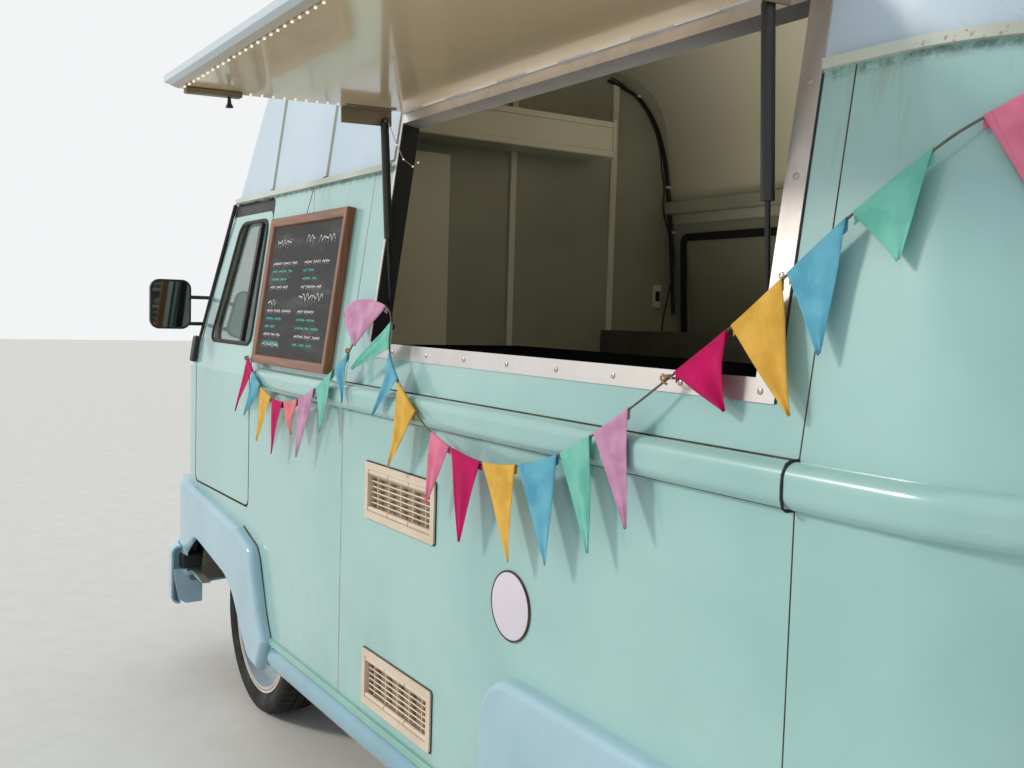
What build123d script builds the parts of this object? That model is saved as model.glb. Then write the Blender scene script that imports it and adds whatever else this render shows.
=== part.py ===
"""High-roof food truck: a forward-control van with a serving hatch in its left side.

Frame while modelling, in millimetres: X forward from the front axle, Y to the left from the
centre plane, Z up from the ground. The last lines move everything so that the origin is the
middle of the underside of the whole truck's box.
"""
from build123d import *
import os
from math import atan2, cos, degrees, pi, radians, sin, sqrt, tan

os.makedirs("parts", exist_ok=True)

# Body in plan: half width and end faces at the belt line, and how far each leans in up to the gutter
HALF_WIDTH = 910
REAR_X = -3100
NOSE_X = 780
NOSE_BOW = 130
REAR_CORNER = 300
NOSE_CORNER = 260
SIDE_LEAN = 86
REAR_LEAN = 80
SCREEN_LEAN = 280

# Heights of the body's lines
FLOOR_Z = 398
FLOOR_THICK = 16
BELT_Z = 1240
GUTTER_Z = 1853
ROOF_Z = 2440

# High roof: corner radius in plan, shoulder radius, and how far the ends lean in
ROOF_CORNER = 330
ROOF_SHOULDER = 270
ROOF_NOSE_LEAN = 250
ROOF_REAR_LEAN = 80
RIB_WIDTH = 34
RIB_HEIGHT = 7
RIB_FIRST_X = -2500
RIB_PITCH = 465
RIB_COUNT = 6

# Walls, glass and the gaps between panels
WALL = 30
ROOF_WALL = 24
GLASS = 6
GLASS_DEPTH = 12
GLASS_GAP = 0.3
SEAM = 3
DOOR_GAP = 8
REAR_GAP = 17
SEAT = 0.3

# Where the side is divided
FRONT_SEAM_X = -1004
REAR_SEAM_X = -2616

# Trim rings
BELT_HIGH = 70
BELT_PROUD = 27
BELT_ROUND = 24
BELT_START_X = -345
GUTTER_PROUD = 15
GUTTER_HIGH = 16
GUTTER_SHEET = 4
FLANGE_PROUD = 8

# Running gear
REAR_AXLE_X = -2270
TYRE_R = 336
TYRE_WIDTH = 160
TYRE_LIP_GAP = 4
# A tyre's shoulder, as (distance in from its side, distance down from its tread)
TYRE_SHOULDER = ((0, 42), (3, 20), (14, 4), (24, 0))
WHEEL_Y = 720
RIM_LIP_R = 263
RIM_BARREL_R = 246
RIM_SHEET = 6
RIM_HALF = 66
DISC_Y = 18
DISC_DISH = 14
HUB_OUT = 10
HUB_CAP_R = 92
HUB_CAP_DEEP = 34
CAP_SHOULDER_R = 74
CAP_SHOULDER_DEEP = 24
CAP_FACE_R = 37
BOSS_WALL = 18
WHEEL_BORE_R = 22.5
WHEEL_SLOTS = 12
SLOT_R = 13
SLOT_RING_R = 168
KINGPIN_Y = 640
KINGPIN_R = 15
STUB_R = 22
UPRIGHT_R = 34
UPRIGHT_HIGH = 82
UPRIGHT_Z = 331
ARM_THICK = 22
ARM_WIDE = 60
TRAILING_ARM_Y = 590
TRAILING_ARM_WIDE = 36
TRAILING_PIVOT_X = -1860
CROSS_TUBE_R = 28

# Wheel housings and arches
HOUSING_R = 430
HOUSING_WALL = 12
HOUSING_INNER_Y = 440
FLARE_PROUD = 36
FLARE_WALL = 14
FLARE_FOOT = 18
FLARE_ROUND = 20

# Sill tubes
SILL_R = 45
SILL_Y = 880

# Serving hatch, its trim and its flap
HATCH_FRONT_X = -1130
HATCH_REAR_X = -2515
HATCH_BOTTOM_Z = 1385
HATCH_TOP_Z = 1965
TRIM_BOTTOM = 34
TRIM_REAR = 40
TRIM_FRONT = 8
TRIM_TOP = 20
TRIM_THICK = 3
REVEAL_DEEP = 48
REVEAL_SHEET = 3
HINGE_Z = 1992
HINGE_OUT = 9
HINGE_R = 4.5
FLAP_THICK = 25
FLAP_LONG = 612
FLAP_DROOP = 1.8
FLAP_FRONT_X = -1136
FLAP_REAR_X = -2556
FLAP_OFFSET = 1
FLAP_START = 5
FLAP_EDGE_WIDE = 32
FLAP_EDGE_HIGH = 10

# Gas struts: pivots across the truck and up, and the two places along it
STRUT_PLACES_X = (-1158, -2487)
STRUT_TOP_Y = 876
STRUT_TOP_Z = 1957
STRUT_FOOT_Y = 845
STRUT_FOOT_Z = 1430
STRUT_TUBE_R = 11
STRUT_TUBE_LONG = 300
STRUT_TUBE_START = 5.4
STRUT_BORE_R = 6.5
STRUT_BORE_START = 27
STRUT_ROD_R = 4.5
STRUT_ROD_INSIDE = 130
PISTON_LONG = 14
STRUT_EYE_R = 9
STRUT_EYE_WIDE = 10
PIVOT_R = 4
PIVOT_GAP = 0.5
BRACKET_START = 36
BRACKET_LONG = 140
BRACKET_HIGH = 42
BRACKET_WIDE = 34
BRACKET_SHEET = 4
BRACKET_SIDE = 16
LEAF_THICK = 4
LEAF_HIGH = 24
KNUCKLE_PITCH = 115

# Doors and windows, each outline as (along, up, corner radius)
DOOR_REAR_X = -219
DOOR_FRONT_X = 400
DOOR_TOP_FRONT_X = 215
DOOR_BOTTOM_Z = 800
DOOR_TOP_Z = 1795
DOOR_SLOT = 46
DOOR_CORNER = 30
HANGER_PLACES_X = (-120, 120)
HANGER_WIDE = 40
HANGER_THICK = 8
WINDOW_REAR_X = -185
WINDOW_FRONT_X = 262
WINDOW_TOP_FRONT_X = 92
WINDOW_BOTTOM_Z = 1345
WINDOW_TOP_Z = 1765
WINDOW_CORNER = 45
SCREEN_BOTTOM_Z = 1300
SCREEN_TOP_Z = 1800
SCREEN_HALF_BOTTOM = 815
SCREEN_HALF_TOP = 745
SCREEN_CORNER = 90
SIDE_DOOR_FRONT_X = -430
SIDE_DOOR_REAR_X = -1330
SIDE_DOOR_BOTTOM_Z = 490
SIDE_DOOR_TOP_Z = 1800
TAILGATE_HALF = 590
TAILGATE_BOTTOM_Z = 1190
TAILGATE_TOP_Z = 1795
TAILGATE_CORNER = 40
REAR_WINDOW_HALF = 470
REAR_WINDOW_BOTTOM_Z = 1345
REAR_WINDOW_TOP_Z = 1700
REAR_WINDOW_CORNER = 60
LOWER_DOOR_BOTTOM_Z = 470
HINGE_PROUD = 9
HINGE_AHEAD = 5
HINGE_PIN_R = 7
HINGE_LONG = 70
HINGE_STRAP = 22
HINGE_SEAT = 6
SIDE_HINGES_Z = (900, 1130)
LOAD_HINGES_Z = (620, 1130)
TAILGATE_HINGES_Y = (-340, 340)
LOWER_HINGES_Z = (600, 1060)

# Nose: lamps and grille
LAMP_Y = 600
LAMP_Z = 800
LAMP_R = 92
LAMP_RING = 16
LAMP_DEEP = 80
LAMP_BACK_R = 55
LENS_R = 83
LENS_OUT = 29
LENS_SHOULDER_OUT = 26
GRILLE_HALF = 370
GRILLE_BOTTOM_Z = 610
GRILLE_TOP_Z = 860
GRILLE_BARS = 7
GRILLE_BAR_HIGH = 14
GRILLE_EDGE = 16
GRILLE_PROUD = 6
REAR_LAMP_Y = 720
REAR_LAMP_Z = 900
REAR_LAMP_WIDE = 90
REAR_LAMP_HIGH = 190
REAR_LAMP_PROUD = 24
REAR_LAMP_ROUND = 20

# Bumpers
BUMPER_OUT = 75
BUMPER_SHEET = 8
BUMPER_BOTTOM_Z = 300
BUMPER_TOP_Z = 530
BUMPER_END_X = 455
BUMPER_ROUND = 30
REAR_BUMPER_BOTTOM_Z = 325
REAR_BUMPER_TOP_Z = 455
REAR_BUMPER_END_X = -2960

# Side vents: place of each one's middle
VENT_PLACES = ((-1357, 1008), (-1360, 517))
VENT_LONG = 380
VENT_HIGH = 146
VENT_BEZEL = 16
VENT_PROUD = 6
VENT_DEEP = 20
VENT_SHEET = 3
VENT_NOTCH = 4
VENT_BARS = 3
VENT_BAR_HIGH = 12
VENT_SLATS = 6
VENT_SLAT_THICK = 3
VENT_SLAT_DEEP = 14
VENT_SLAT_TILT = 35

# Menu board, hung on the side
BOARD_FRONT_X = -283
BOARD_REAR_X = -903
BOARD_BOTTOM_Z = 1287
BOARD_TOP_Z = 1757
BOARD_THICK = 26
BOARD_FRAME = 30
BOARD_RECESS = 10
BOARD_ROUND = 3

# Inside
BULKHEAD_X = -360
BULKHEAD_THICK = 20
COUNTER_TOP_Z = 1383
COUNTER_THICK = 38
COUNTER_INNER_Y = 430
COUNTER_PANEL = 18
COUNTER_SETBACK = 40
UNIT_TOP_Z = 1420
UNIT_INNER_Y = -450
UNIT_LONG = 1000
SHELF_LEFT_Y = 560
SHELF_RIGHT_Y = -360
SHELF_BOTTOM_Z = 2062
SHELF_HIGH = 130
SHELF_DEEP = 150
SHELF_BOARD = 14
CUPBOARD_RIGHT_Y = 262
CUPBOARD_LEFT_Y = 620
CUPBOARD_TOP_Z = 2020
CUPBOARD_DEEP = 40
CABLE_R = 5
BEND_SHARE = 0.45
CABLES = 2
CABLE_POINTS = ((-440, 2378), (-590, 2340), (-685, 2240), (-738, 2110), (-762, 1960), (-782, 1800),
                (-798, 1640), (-812, 1490))

# Under the floor
RAIL_Y = 340
RAIL_WIDE = 60
RAIL_HIGH = 90
RAIL_FRONT_X = 560
RAIL_REAR_X = -3010
CROSS_WIDE = 70
CROSS_PLACES_X = (500, -700, -1300, -2700)
BUMPER_STAY_HIGH = 40
EYE_BORE_R = 15
EYE_R = 32
EYE_THICK = 24
EYE_Z = 258
EYE_INSET = 45
ENGINE_FRONT_X = 430
ENGINE_REAR_X = -210
ENGINE_HALF = 240
ENGINE_TOP_Z = 860
ENGINE_BOTTOM_Z = 270
ENGINE_GAP = 10
ENGINE_MOUNT = 60
ENGINE_MOUNT_HEIGHTS = (15, 45)
TANK_X = -1590
TANK_Y = 100
TANK_LONG = 420
TANK_WIDE = 400
TANK_HIGH = 120
TANK_ROUND = 25
EXHAUST_R = 24
EXHAUST_Y = -150
EXHAUST_END_X = -1150
MUFFLER_R = 55
MUFFLER_FRONT_X = -760
MUFFLER_LONG = 330

# In the cab
SEAT_Y = 500
SEAT_WIDE = 420
SEAT_FRONT_X = 160
SEAT_BACK_X = -320
SEAT_BASE_TOP_Z = 850
CUSHION_THICK = 110
SEAT_BACK_THICK = 110
SEAT_TOP_Z = 1430
SEAT_ROUND = 35
DASH_REAR_X = 330
DASH_FRONT_X = 560
DASH_BOTTOM_Z = 1040
DASH_TOP_Z = 1240
STEERING_Y = 380
STEERING_X = 190
STEERING_Z = 1190
STEERING_R = 200
STEERING_RIM = 13
STEERING_TILT = 50
STEERING_SPOKES = 3
SPOKE_THICK = 12
COLUMN_R = 22
COLUMN_IN_DASH = 40

# Door mirrors, as (side, X of the head): the one beside the hinged door stands further forward
MIRROR_PLACES = ((1, 370), (-1, 452))
MIRROR_Y = 1020
MIRROR_Z = 1472
MIRROR_WIDE = 150
MIRROR_HIGH = 185
MIRROR_THICK = 25
MIRROR_ROUND = 35
MIRROR_ARM_R = 7
MIRROR_ARM_FOOT = (400, 860)
MIRROR_ARMS_Z = (1500, 1400)

# Bunting: the cord's route as (X, Y, Z), and the pegs that it hangs on
CORD_R = 2
CORD_POINTS = (
    (-2935, 757, 1812), (-2822, 842, 1735), (-2780, 862, 1703), (-2668, 884, 1624), (-2563, 895, 1538),
    (-2462, 905, 1457), (-2350, 917, 1381), (-2276, 938, 1322), (-2180, 950, 1262), (-2090, 953, 1215),
    (-1955, 954, 1176), (-1815, 954, 1163), (-1688, 953, 1177), (-1590, 953, 1205), (-1522, 952, 1234),
    (-1415, 948, 1300), (-1333, 938, 1372), (-1338, 930, 1450), (-1300, 924, 1484), (-1116, 914, 1503),
    (-1010, 925, 1466), (-1072, 908, 1402), (-1090, 928, 1362), (-1030, 952, 1306), (-910, 953, 1247),
    (-790, 953, 1208), (-665, 953, 1186), (-560, 953, 1190), (-455, 951, 1217), (-360, 946, 1262),
    (-262, 930, 1303),
)
PEG_R = 2.5
PEG_LONG = 120
# Pegs as (point of the route, how far their foot stands out of the skin)
PEG_POINTS = ((0, 0), (6, TRIM_THICK), (19, 0), (30, 0))
PENNANT_THICK = 2
PENNANT_INSET = 9
PENNANT_DROP = 15
PENNANT_LIFTS = 12
# Pennants as (first point of the route, last point, how far the tip hangs, tip's shift forward)
PENNANTS = (
    (0, 1, 130, -20), (2, 3, 90, -26), (3, 4, 137, -30), (4, 5, 142, -95), (5, 6, 70, -70), (7, 8, 159, -58),
    (8, 9, 168, -49), (9, 10, 175, -33), (10, 11, 171, -42), (11, 12, 170, 22), (12, 13, 135, 64),
    (14, 15, 156, 90), (15, 16, 105, 81), (16, 17, 77, 200), (18, 20, 82, 22), (22, 23, 92, -34),
    (23, 24, 126, 15), (24, 25, 172, 78), (25, 26, 82, -1), (26, 27, 150, 51), (27, 28, 142, 89),
    (28, 29, 109, 120), (29, 30, 148, 130),
)


def box(x0, x1, y0, y1, z0, z1):
    """Box between two corners."""
    return Pos((x0 + x1) / 2, (y0 + y1) / 2, (z0 + z1) / 2) * Box(x1 - x0, y1 - y0, z1 - z0)


def rod(start, end, radius):
    """Round bar from one point to another."""
    path = Vector(*end) - Vector(*start)
    place = Plane(origin=start, z_dir=path)
    return extrude(place * Circle(radius), path.length)


def outline(corners):
    """Closed face from (a, b, radius) corners, each rounded by its own radius."""
    face = make_face(Polyline(*[(a, b) for a, b, _ in corners], close=True))
    for a, b, radius in corners:
        if radius:
            face = fillet(face.vertices().sort_by_distance((a, b, 0))[0], radius)
    return face


def across(corners, y0, y1):
    """Prism along Y between y0 and y1, of an outline in X and Z."""
    return Pos(0, y1, 0) * extrude(Plane.XZ * outline(corners), y1 - y0)


def along(corners, x0, x1):
    """Prism along X between x0 and x1, of an outline in Y and Z."""
    return Pos(x0, 0, 0) * extrude(Plane.YZ * outline(corners), x1 - x0)


def rectangle(a0, a1, b0, b1, radius=0):
    """Corners of a rectangle, all with one radius."""
    return [(a0, b0, radius), (a1, b0, radius), (a1, b1, radius), (a0, b1, radius)]


def plan(z, depth=0, side=HALF_WIDTH, rear=REAR_X, nose=NOSE_X, rear_r=REAR_CORNER, nose_r=NOSE_CORNER):
    """Body outline at one height, moved in by depth: straight sides and rear, bowed nose."""
    side, rear, nose = side - depth, rear + depth, nose - depth
    edge = nose - NOSE_BOW
    bow = ThreePointArc((edge, -side), (nose, 0), (edge, side))
    rest = Polyline((edge, side), (rear, side), (rear, -side), (edge, -side))
    face = make_face(bow + rest)
    face = fillet(face.vertices().sort_by(Axis.X)[:2], rear_r - depth)
    face = fillet(face.vertices().sort_by(Axis.X)[-2:], nose_r - depth)
    return Pos(0, 0, z) * face


def gutter_plan(z, depth=0, lift=0):
    """Outline at the gutter, or lift of the way from there to the top of the roof."""
    return plan(
        z,
        depth,
        HALF_WIDTH - SIDE_LEAN - lift * roof_side_lean,
        REAR_X + REAR_LEAN + lift * ROOF_REAR_LEAN,
        NOSE_X - SCREEN_LEAN - lift * ROOF_NOSE_LEAN,
        ROOF_CORNER,
        ROOF_CORNER,
    )


# The side leans at one slope from the belt to the roof's shoulder
side_slope = SIDE_LEAN / (GUTTER_Z - BELT_Z)
roof_side_lean = side_slope * (ROOF_Z - GUTTER_Z)
body_z = FLOOR_Z + FLOOR_THICK


def side_y(z, out=0):
    """Y of the body's left side at height z above the belt, moved out by so much."""
    return HALF_WIDTH - side_slope * (z - BELT_Z) + out


def lower_body(depth, z0, z1):
    return extrude(plan(z0, depth), z1 - z0)


def body(depth):
    """Solid inside the body's skin, moved in by depth, from floor to gutter."""
    upper = loft([plan(BELT_Z, depth), gutter_plan(GUTTER_Z, depth)], ruled=True)
    return lower_body(depth, body_z, BELT_Z) + upper


def roof(depth):
    """Solid inside the high roof's skin, moved in by depth."""
    top = gutter_plan(ROOF_Z - depth, depth, 1 - depth / (ROOF_Z - GUTTER_Z))
    solid = loft([gutter_plan(GUTTER_Z, depth), top], ruled=True)
    return fillet(solid.faces().sort_by(Axis.Z)[-1].edges(), ROOF_SHOULDER - depth)


def skin(outer, inner):
    """Layer of the body's wall between two depths."""
    return body(outer) - body(inner)


# The hatch's plane: x runs to the rear, y up the leaning side, z out of it
lean_angle = atan2(SIDE_LEAN, GUTTER_Z - BELT_Z)
hatch_plane = Plane(
    origin=(0, HALF_WIDTH, BELT_Z), x_dir=(-1, 0, 0), z_dir=(0, cos(lean_angle), sin(lean_angle))
)


def up_side(z):
    """Distance up the leaning side from the belt to height z."""
    return (z - BELT_Z) / cos(lean_angle)


def on_side(x0, x1, z0, z1, out0, out1, radius=0):
    """Slab on the leaning side between two X, two heights and two distances out of it."""
    face = outline(rectangle(-x1, -x0, up_side(z0), up_side(z1), radius))
    return extrude(hatch_plane * Pos(0, 0, out0) * face, out1 - out0)


# Hinge line of the flap, and the direction of the flap at rest
hinge_y = side_y(HINGE_Z) + HINGE_OUT / cos(lean_angle)
flap_plane = Plane(
    origin=(0, hinge_y, HINGE_Z),
    x_dir=(0, cos(radians(FLAP_DROOP)), -sin(radians(FLAP_DROOP))),
    z_dir=(0, sin(radians(FLAP_DROOP)), cos(radians(FLAP_DROOP))),
)
flap_close_angle = 90 - degrees(lean_angle) - FLAP_DROOP

nodes = {}

# Shell of the body, later cut into its panels
shell = skin(0, WALL)
glass_layer = skin(GLASS_DEPTH, GLASS_DEPTH + GLASS)
roof_outer = roof(0)
roof_inner = roof(ROOF_WALL)

FAR = 2000
hatch_hole = on_side(HATCH_REAR_X, HATCH_FRONT_X, HATCH_BOTTOM_Z, HATCH_TOP_Z, -WALL * 3, WALL)


def door_outline(grow, top, rear_grow=None):
    """Cab door: upright rear edge, front edge that follows the screen pillar above the belt."""
    rear_grow = grow if rear_grow is None else rear_grow
    return [
        (DOOR_REAR_X - rear_grow, DOOR_BOTTOM_Z - grow, DOOR_CORNER),
        (DOOR_FRONT_X + grow, DOOR_BOTTOM_Z - grow, DOOR_CORNER),
        (DOOR_FRONT_X + grow, BELT_Z, 0),
        (DOOR_TOP_FRONT_X + grow, top + grow, DOOR_CORNER),
        (DOOR_REAR_X - rear_grow, top + grow, DOOR_CORNER),
    ]


def window_outline(shrink):
    return [
        (WINDOW_REAR_X + shrink, WINDOW_BOTTOM_Z + shrink, WINDOW_CORNER),
        (WINDOW_FRONT_X - shrink, WINDOW_BOTTOM_Z + shrink, WINDOW_CORNER),
        (WINDOW_TOP_FRONT_X - shrink, WINDOW_TOP_Z - shrink, WINDOW_CORNER),
        (WINDOW_REAR_X + shrink, WINDOW_TOP_Z - shrink, WINDOW_CORNER),
    ]


def screen_outline(shrink):
    return [
        (-SCREEN_HALF_BOTTOM + shrink, SCREEN_BOTTOM_Z + shrink, SCREEN_CORNER),
        (SCREEN_HALF_BOTTOM - shrink, SCREEN_BOTTOM_Z + shrink, SCREEN_CORNER),
        (SCREEN_HALF_TOP - shrink, SCREEN_TOP_Z - shrink, SCREEN_CORNER),
        (-SCREEN_HALF_TOP + shrink, SCREEN_TOP_Z - shrink, SCREEN_CORNER),
    ]


# Wheel arch outlines, in X and Z, each corner with its radius: the flare's outer edge and its opening
front_flare = [
    (-475, 404, 0), (-425, 483, 60), (-345, 675, 70), (-190, 722, 0), (540, 798, 0), (540, 430, 0),
    (-422, 299, 0),
]
front_arch = [
    (-430, 290, 0), (-320, 315, 100), (-130, 520, 240), (300, 590, 110), (430, 500, 60), (430, 290, 0),
]
rear_flare = [
    (-2735, 320, 12), (-2735, 735, 115), (-1808, 735, 115), (-1808, 320, 12),
]
rear_arch = [
    (-2640, 290, 0), (-2590, 590, 130), (-1950, 590, 130), (-1900, 290, 0),
]
HANDS = (-1, 1)


def side_prism(face, hand):
    """Prism of an XZ face through one side of the body."""
    far = Pos(0, FAR if hand > 0 else -HOUSING_INNER_Y, 0)
    return far * extrude(Plane.XZ * face, FAR - HOUSING_INNER_Y)


def flare(corners, arch, hand):
    """Hollow bulge round a wheel opening, standing on the body's skin along its foot."""
    ring = outline(corners) - outline(arch)
    wire = ring.face().outer_wire()
    outer = (extrude(plan(0, -FLARE_PROUD), BELT_Z) & side_prism(ring, hand)).solid()
    under = extrude(plan(0, -FLARE_PROUD + 1), BELT_Z).solid()
    rim = []
    for edge in outer.edges():
        middle = edge @ 0.5
        if not under.is_inside(middle) and wire.distance_to(Vertex(middle.X, middle.Z, 0)) < 1:
            rim.append(edge)
    outer = fillet(rim, FLARE_ROUND)
    hollow = extrude(plan(0, -FLARE_PROUD + FLARE_WALL), BELT_Z)
    hollow &= side_prism(offset(outline(corners), -FLARE_FOOT), hand)
    return outer - hollow - extrude(plan(0, 0), BELT_Z)


def housing(axle_x, hand, radius, inner_y):
    """Cylinder round a wheel, from inner_y out through the side."""
    place = Pos(axle_x, hand * (inner_y + FAR / 2), TYRE_R)
    return place * Rot(90, 0, 0) * Cylinder(radius, FAR)


# Floor with its wheel housings, and the well that the engine stands in
outside = extrude(plan(FLOOR_Z, WALL + SEAT), FAR)
floor = extrude(plan(FLOOR_Z, -FLANGE_PROUD), FLOOR_THICK)
for axle_x in (0, REAR_AXLE_X):
    for hand in HANDS:
        floor += housing(axle_x, hand, HOUSING_R, HOUSING_INNER_Y) & outside
        floor -= housing(axle_x, hand, HOUSING_R - HOUSING_WALL, HOUSING_INNER_Y + HOUSING_WALL)
for hand in HANDS:
    for corners in (front_flare, rear_flare):
        floor -= side_prism(outline(corners), hand) - extrude(plan(0), FAR)
floor -= box(
    ENGINE_REAR_X - ENGINE_GAP, ENGINE_FRONT_X + ENGINE_GAP,
    -ENGINE_HALF - ENGINE_GAP, ENGINE_HALF + ENGINE_GAP, 0, FAR,
)
nodes["floor_pan"] = floor

# Panels cut from the shell
ALL = (-2 * FAR, 2 * FAR)
cab = shell & box(FRONT_SEAM_X + SEAM / 2, FAR, *ALL, *ALL)
rear = shell & box(-2 * FAR, REAR_SEAM_X - SEAM / 2, *ALL, *ALL)
middle = shell & box(REAR_SEAM_X + SEAM / 2, FRONT_SEAM_X - SEAM / 2, *ALL, *ALL)
for hand in HANDS:
    front_cut = side_prism(offset(outline(front_flare), -FLARE_FOOT), hand)
    rear_cut = side_prism(offset(outline(rear_flare), -FLARE_FOOT), hand)
    cab -= front_cut
    middle -= rear_cut
    rear -= rear_cut

bow_radius = (HALF_WIDTH**2 + NOSE_BOW**2) / (2 * NOSE_BOW)
lamp_tilt = degrees(atan2(LAMP_Y, bow_radius))
lamp_x = NOSE_X - bow_radius + sqrt(bow_radius**2 - LAMP_Y**2)
lamp_places = [Pos(lamp_x, hand * LAMP_Y, LAMP_Z) * Rot(0, 0, hand * lamp_tilt) for hand in HANDS]
grille_hole = rectangle(-GRILLE_HALF, GRILLE_HALF, GRILLE_BOTTOM_Z, GRILLE_TOP_Z, GRILLE_EDGE)
cab -= across(door_outline(DOOR_GAP, DOOR_TOP_Z + DOOR_SLOT - DOOR_GAP), HOUSING_INNER_Y, FAR)
cab -= across(door_outline(DOOR_GAP, DOOR_TOP_Z, REAR_GAP), -FAR, -HOUSING_INNER_Y)
cab -= along(screen_outline(0), DOOR_TOP_FRONT_X, FAR)
cab -= along(grille_hole, ENGINE_FRONT_X, FAR)
for place in lamp_places:
    cab -= place * Rot(0, 90, 0) * Cylinder(LAMP_R, LAMP_DEEP * 2)


def side_door_outline(grow, rear_grow):
    return rectangle(
        SIDE_DOOR_REAR_X - rear_grow, SIDE_DOOR_FRONT_X + grow,
        SIDE_DOOR_BOTTOM_Z - grow, SIDE_DOOR_TOP_Z + grow, DOOR_CORNER,
    )


side_door_hole = across(side_door_outline(DOOR_GAP, REAR_GAP), -FAR, -HOUSING_INNER_Y)
cab -= side_door_hole
middle -= side_door_hole

left_side = middle & box(*ALL, 0, FAR, *ALL)
left_side -= hatch_hole
for vent_x, vent_z in VENT_PLACES:
    left_side -= box(
        vent_x - VENT_LONG / 2 + VENT_BEZEL, vent_x + VENT_LONG / 2 - VENT_BEZEL,
        HALF_WIDTH - WALL * 2, FAR,
        vent_z - VENT_HIGH / 2 + VENT_BEZEL, vent_z + VENT_HIGH / 2 - VENT_BEZEL,
    )


def rear_hole(half, bottom, top):
    return along(rectangle(-half, half, bottom, top, TAILGATE_CORNER), REAR_X - FAR, REAR_X + REAR_CORNER)


rear -= rear_hole(TAILGATE_HALF + DOOR_GAP, LOWER_DOOR_BOTTOM_Z - DOOR_GAP, TAILGATE_TOP_Z + DOOR_GAP)


def rear_x(z):
    """X of the rear face at height z above the belt."""
    return REAR_X + REAR_LEAN * (z - BELT_Z) / (GUTTER_Z - BELT_Z)


def hinge(place, inward):
    """Body half and door half of a hinge. Z of place is the axis, X points to the door."""
    sixth = HINGE_LONG / 6
    halves = []
    outer_spans = ((-3 * sixth, -sixth - PIVOT_GAP), (sixth + PIVOT_GAP, 3 * sixth))
    for toward, spans in ((-1, outer_spans), (1, ((-sixth, sixth),))):
        half = None
        for low, high in spans:
            piece = Pos(0, 0, (low + high) / 2) * Cylinder(HINGE_PIN_R, high - low)
            strap_x = sorted((0, toward * HINGE_STRAP))
            strap_y = sorted((0, inward * (HINGE_PROUD + HINGE_SEAT)))
            piece += box(*strap_x, *strap_y, low, high)
            half = piece if half is None else half + piece
        halves.append(place * half)
    return halves


# Doors that swing: passenger's and load door on the right, tailgate and two lower doors behind
passenger_door = shell & across(door_outline(0, DOOR_TOP_Z), -FAR, -HOUSING_INNER_Y)
passenger_door -= across(window_outline(0), -FAR, -HOUSING_INNER_Y)
side_door = shell & across(side_door_outline(0, 0), -FAR, -HOUSING_INNER_Y)
tailgate = shell & rear_hole(TAILGATE_HALF, TAILGATE_BOTTOM_Z, TAILGATE_TOP_Z)
window_hole = rectangle(
    -REAR_WINDOW_HALF, REAR_WINDOW_HALF, REAR_WINDOW_BOTTOM_Z, REAR_WINDOW_TOP_Z, REAR_WINDOW_CORNER
)
tailgate -= along(window_hole, REAR_X - FAR, REAR_X + REAR_CORNER)
lower_pair = shell & rear_hole(TAILGATE_HALF, LOWER_DOOR_BOTTOM_Z, TAILGATE_BOTTOM_Z - DOOR_GAP)
lower_doors = {
    hand: lower_pair & box(*ALL, *sorted((hand * DOOR_GAP / 2, hand * FAR)), *ALL) for hand in HANDS
}

hinge_line_y = -HALF_WIDTH - HINGE_PROUD
passenger_axis_x = DOOR_FRONT_X + HINGE_AHEAD
side_door_axis_x = SIDE_DOOR_FRONT_X + HINGE_AHEAD
tailgate_axis_z = TAILGATE_TOP_Z + HINGE_AHEAD
tailgate_axis_x = rear_x(tailgate_axis_z) - HINGE_PROUD
lower_axis_y = TAILGATE_HALF + HINGE_AHEAD
lower_axis_x = REAR_X - HINGE_PROUD
for z in SIDE_HINGES_Z:
    fixed, moving = hinge(Plane((passenger_axis_x, hinge_line_y, z), x_dir=(-1, 0, 0), z_dir=(0, 0, 1)), -1)
    cab += fixed
    passenger_door += moving
for z in LOAD_HINGES_Z:
    fixed, moving = hinge(Plane((side_door_axis_x, hinge_line_y, z), x_dir=(-1, 0, 0), z_dir=(0, 0, 1)), -1)
    cab += fixed
    side_door += moving
for y in TAILGATE_HINGES_Y:
    fixed, moving = hinge(Plane((tailgate_axis_x, y, tailgate_axis_z), x_dir=(0, 0, -1), z_dir=(0, 1, 0)), -1)
    rear += fixed
    tailgate += moving
for hand, door in lower_doors.items():
    for z in LOWER_HINGES_Z:
        place = Plane((lower_axis_x, hand * lower_axis_y, z), x_dir=(0, -hand, 0), z_dir=(0, 0, 1))
        fixed, moving = hinge(place, hand)
        rear += fixed
        lower_doors[hand] += moving

# Belt moulding round the body, with its own piece on each door that it crosses
belt = extrude(plan(BELT_Z - BELT_HIGH / 2, -BELT_PROUD), BELT_HIGH)
belt = fillet(belt.edges().group_by(Axis.Z)[0] + belt.edges().group_by(Axis.Z)[-1], BELT_ROUND)
belt = (belt - body(0)) & box(-2 * FAR, BELT_START_X, *ALL, *ALL)
side_door_belt = belt & across(side_door_outline(0, 0), -FAR, -HOUSING_INNER_Y)
tailgate_belt = belt & rear_hole(TAILGATE_HALF, TAILGATE_BOTTOM_Z, TAILGATE_TOP_Z)
belt -= box(SIDE_DOOR_REAR_X - REAR_GAP, 0, -FAR, 0, *ALL)
belt -= rear_hole(TAILGATE_HALF + DOOR_GAP, TAILGATE_BOTTOM_Z, TAILGATE_TOP_Z)
belt -= box(REAR_SEAM_X - SEAM / 2, REAR_SEAM_X + SEAM / 2, *ALL, *ALL)
side_door += side_door_belt
tailgate += tailgate_belt

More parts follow.
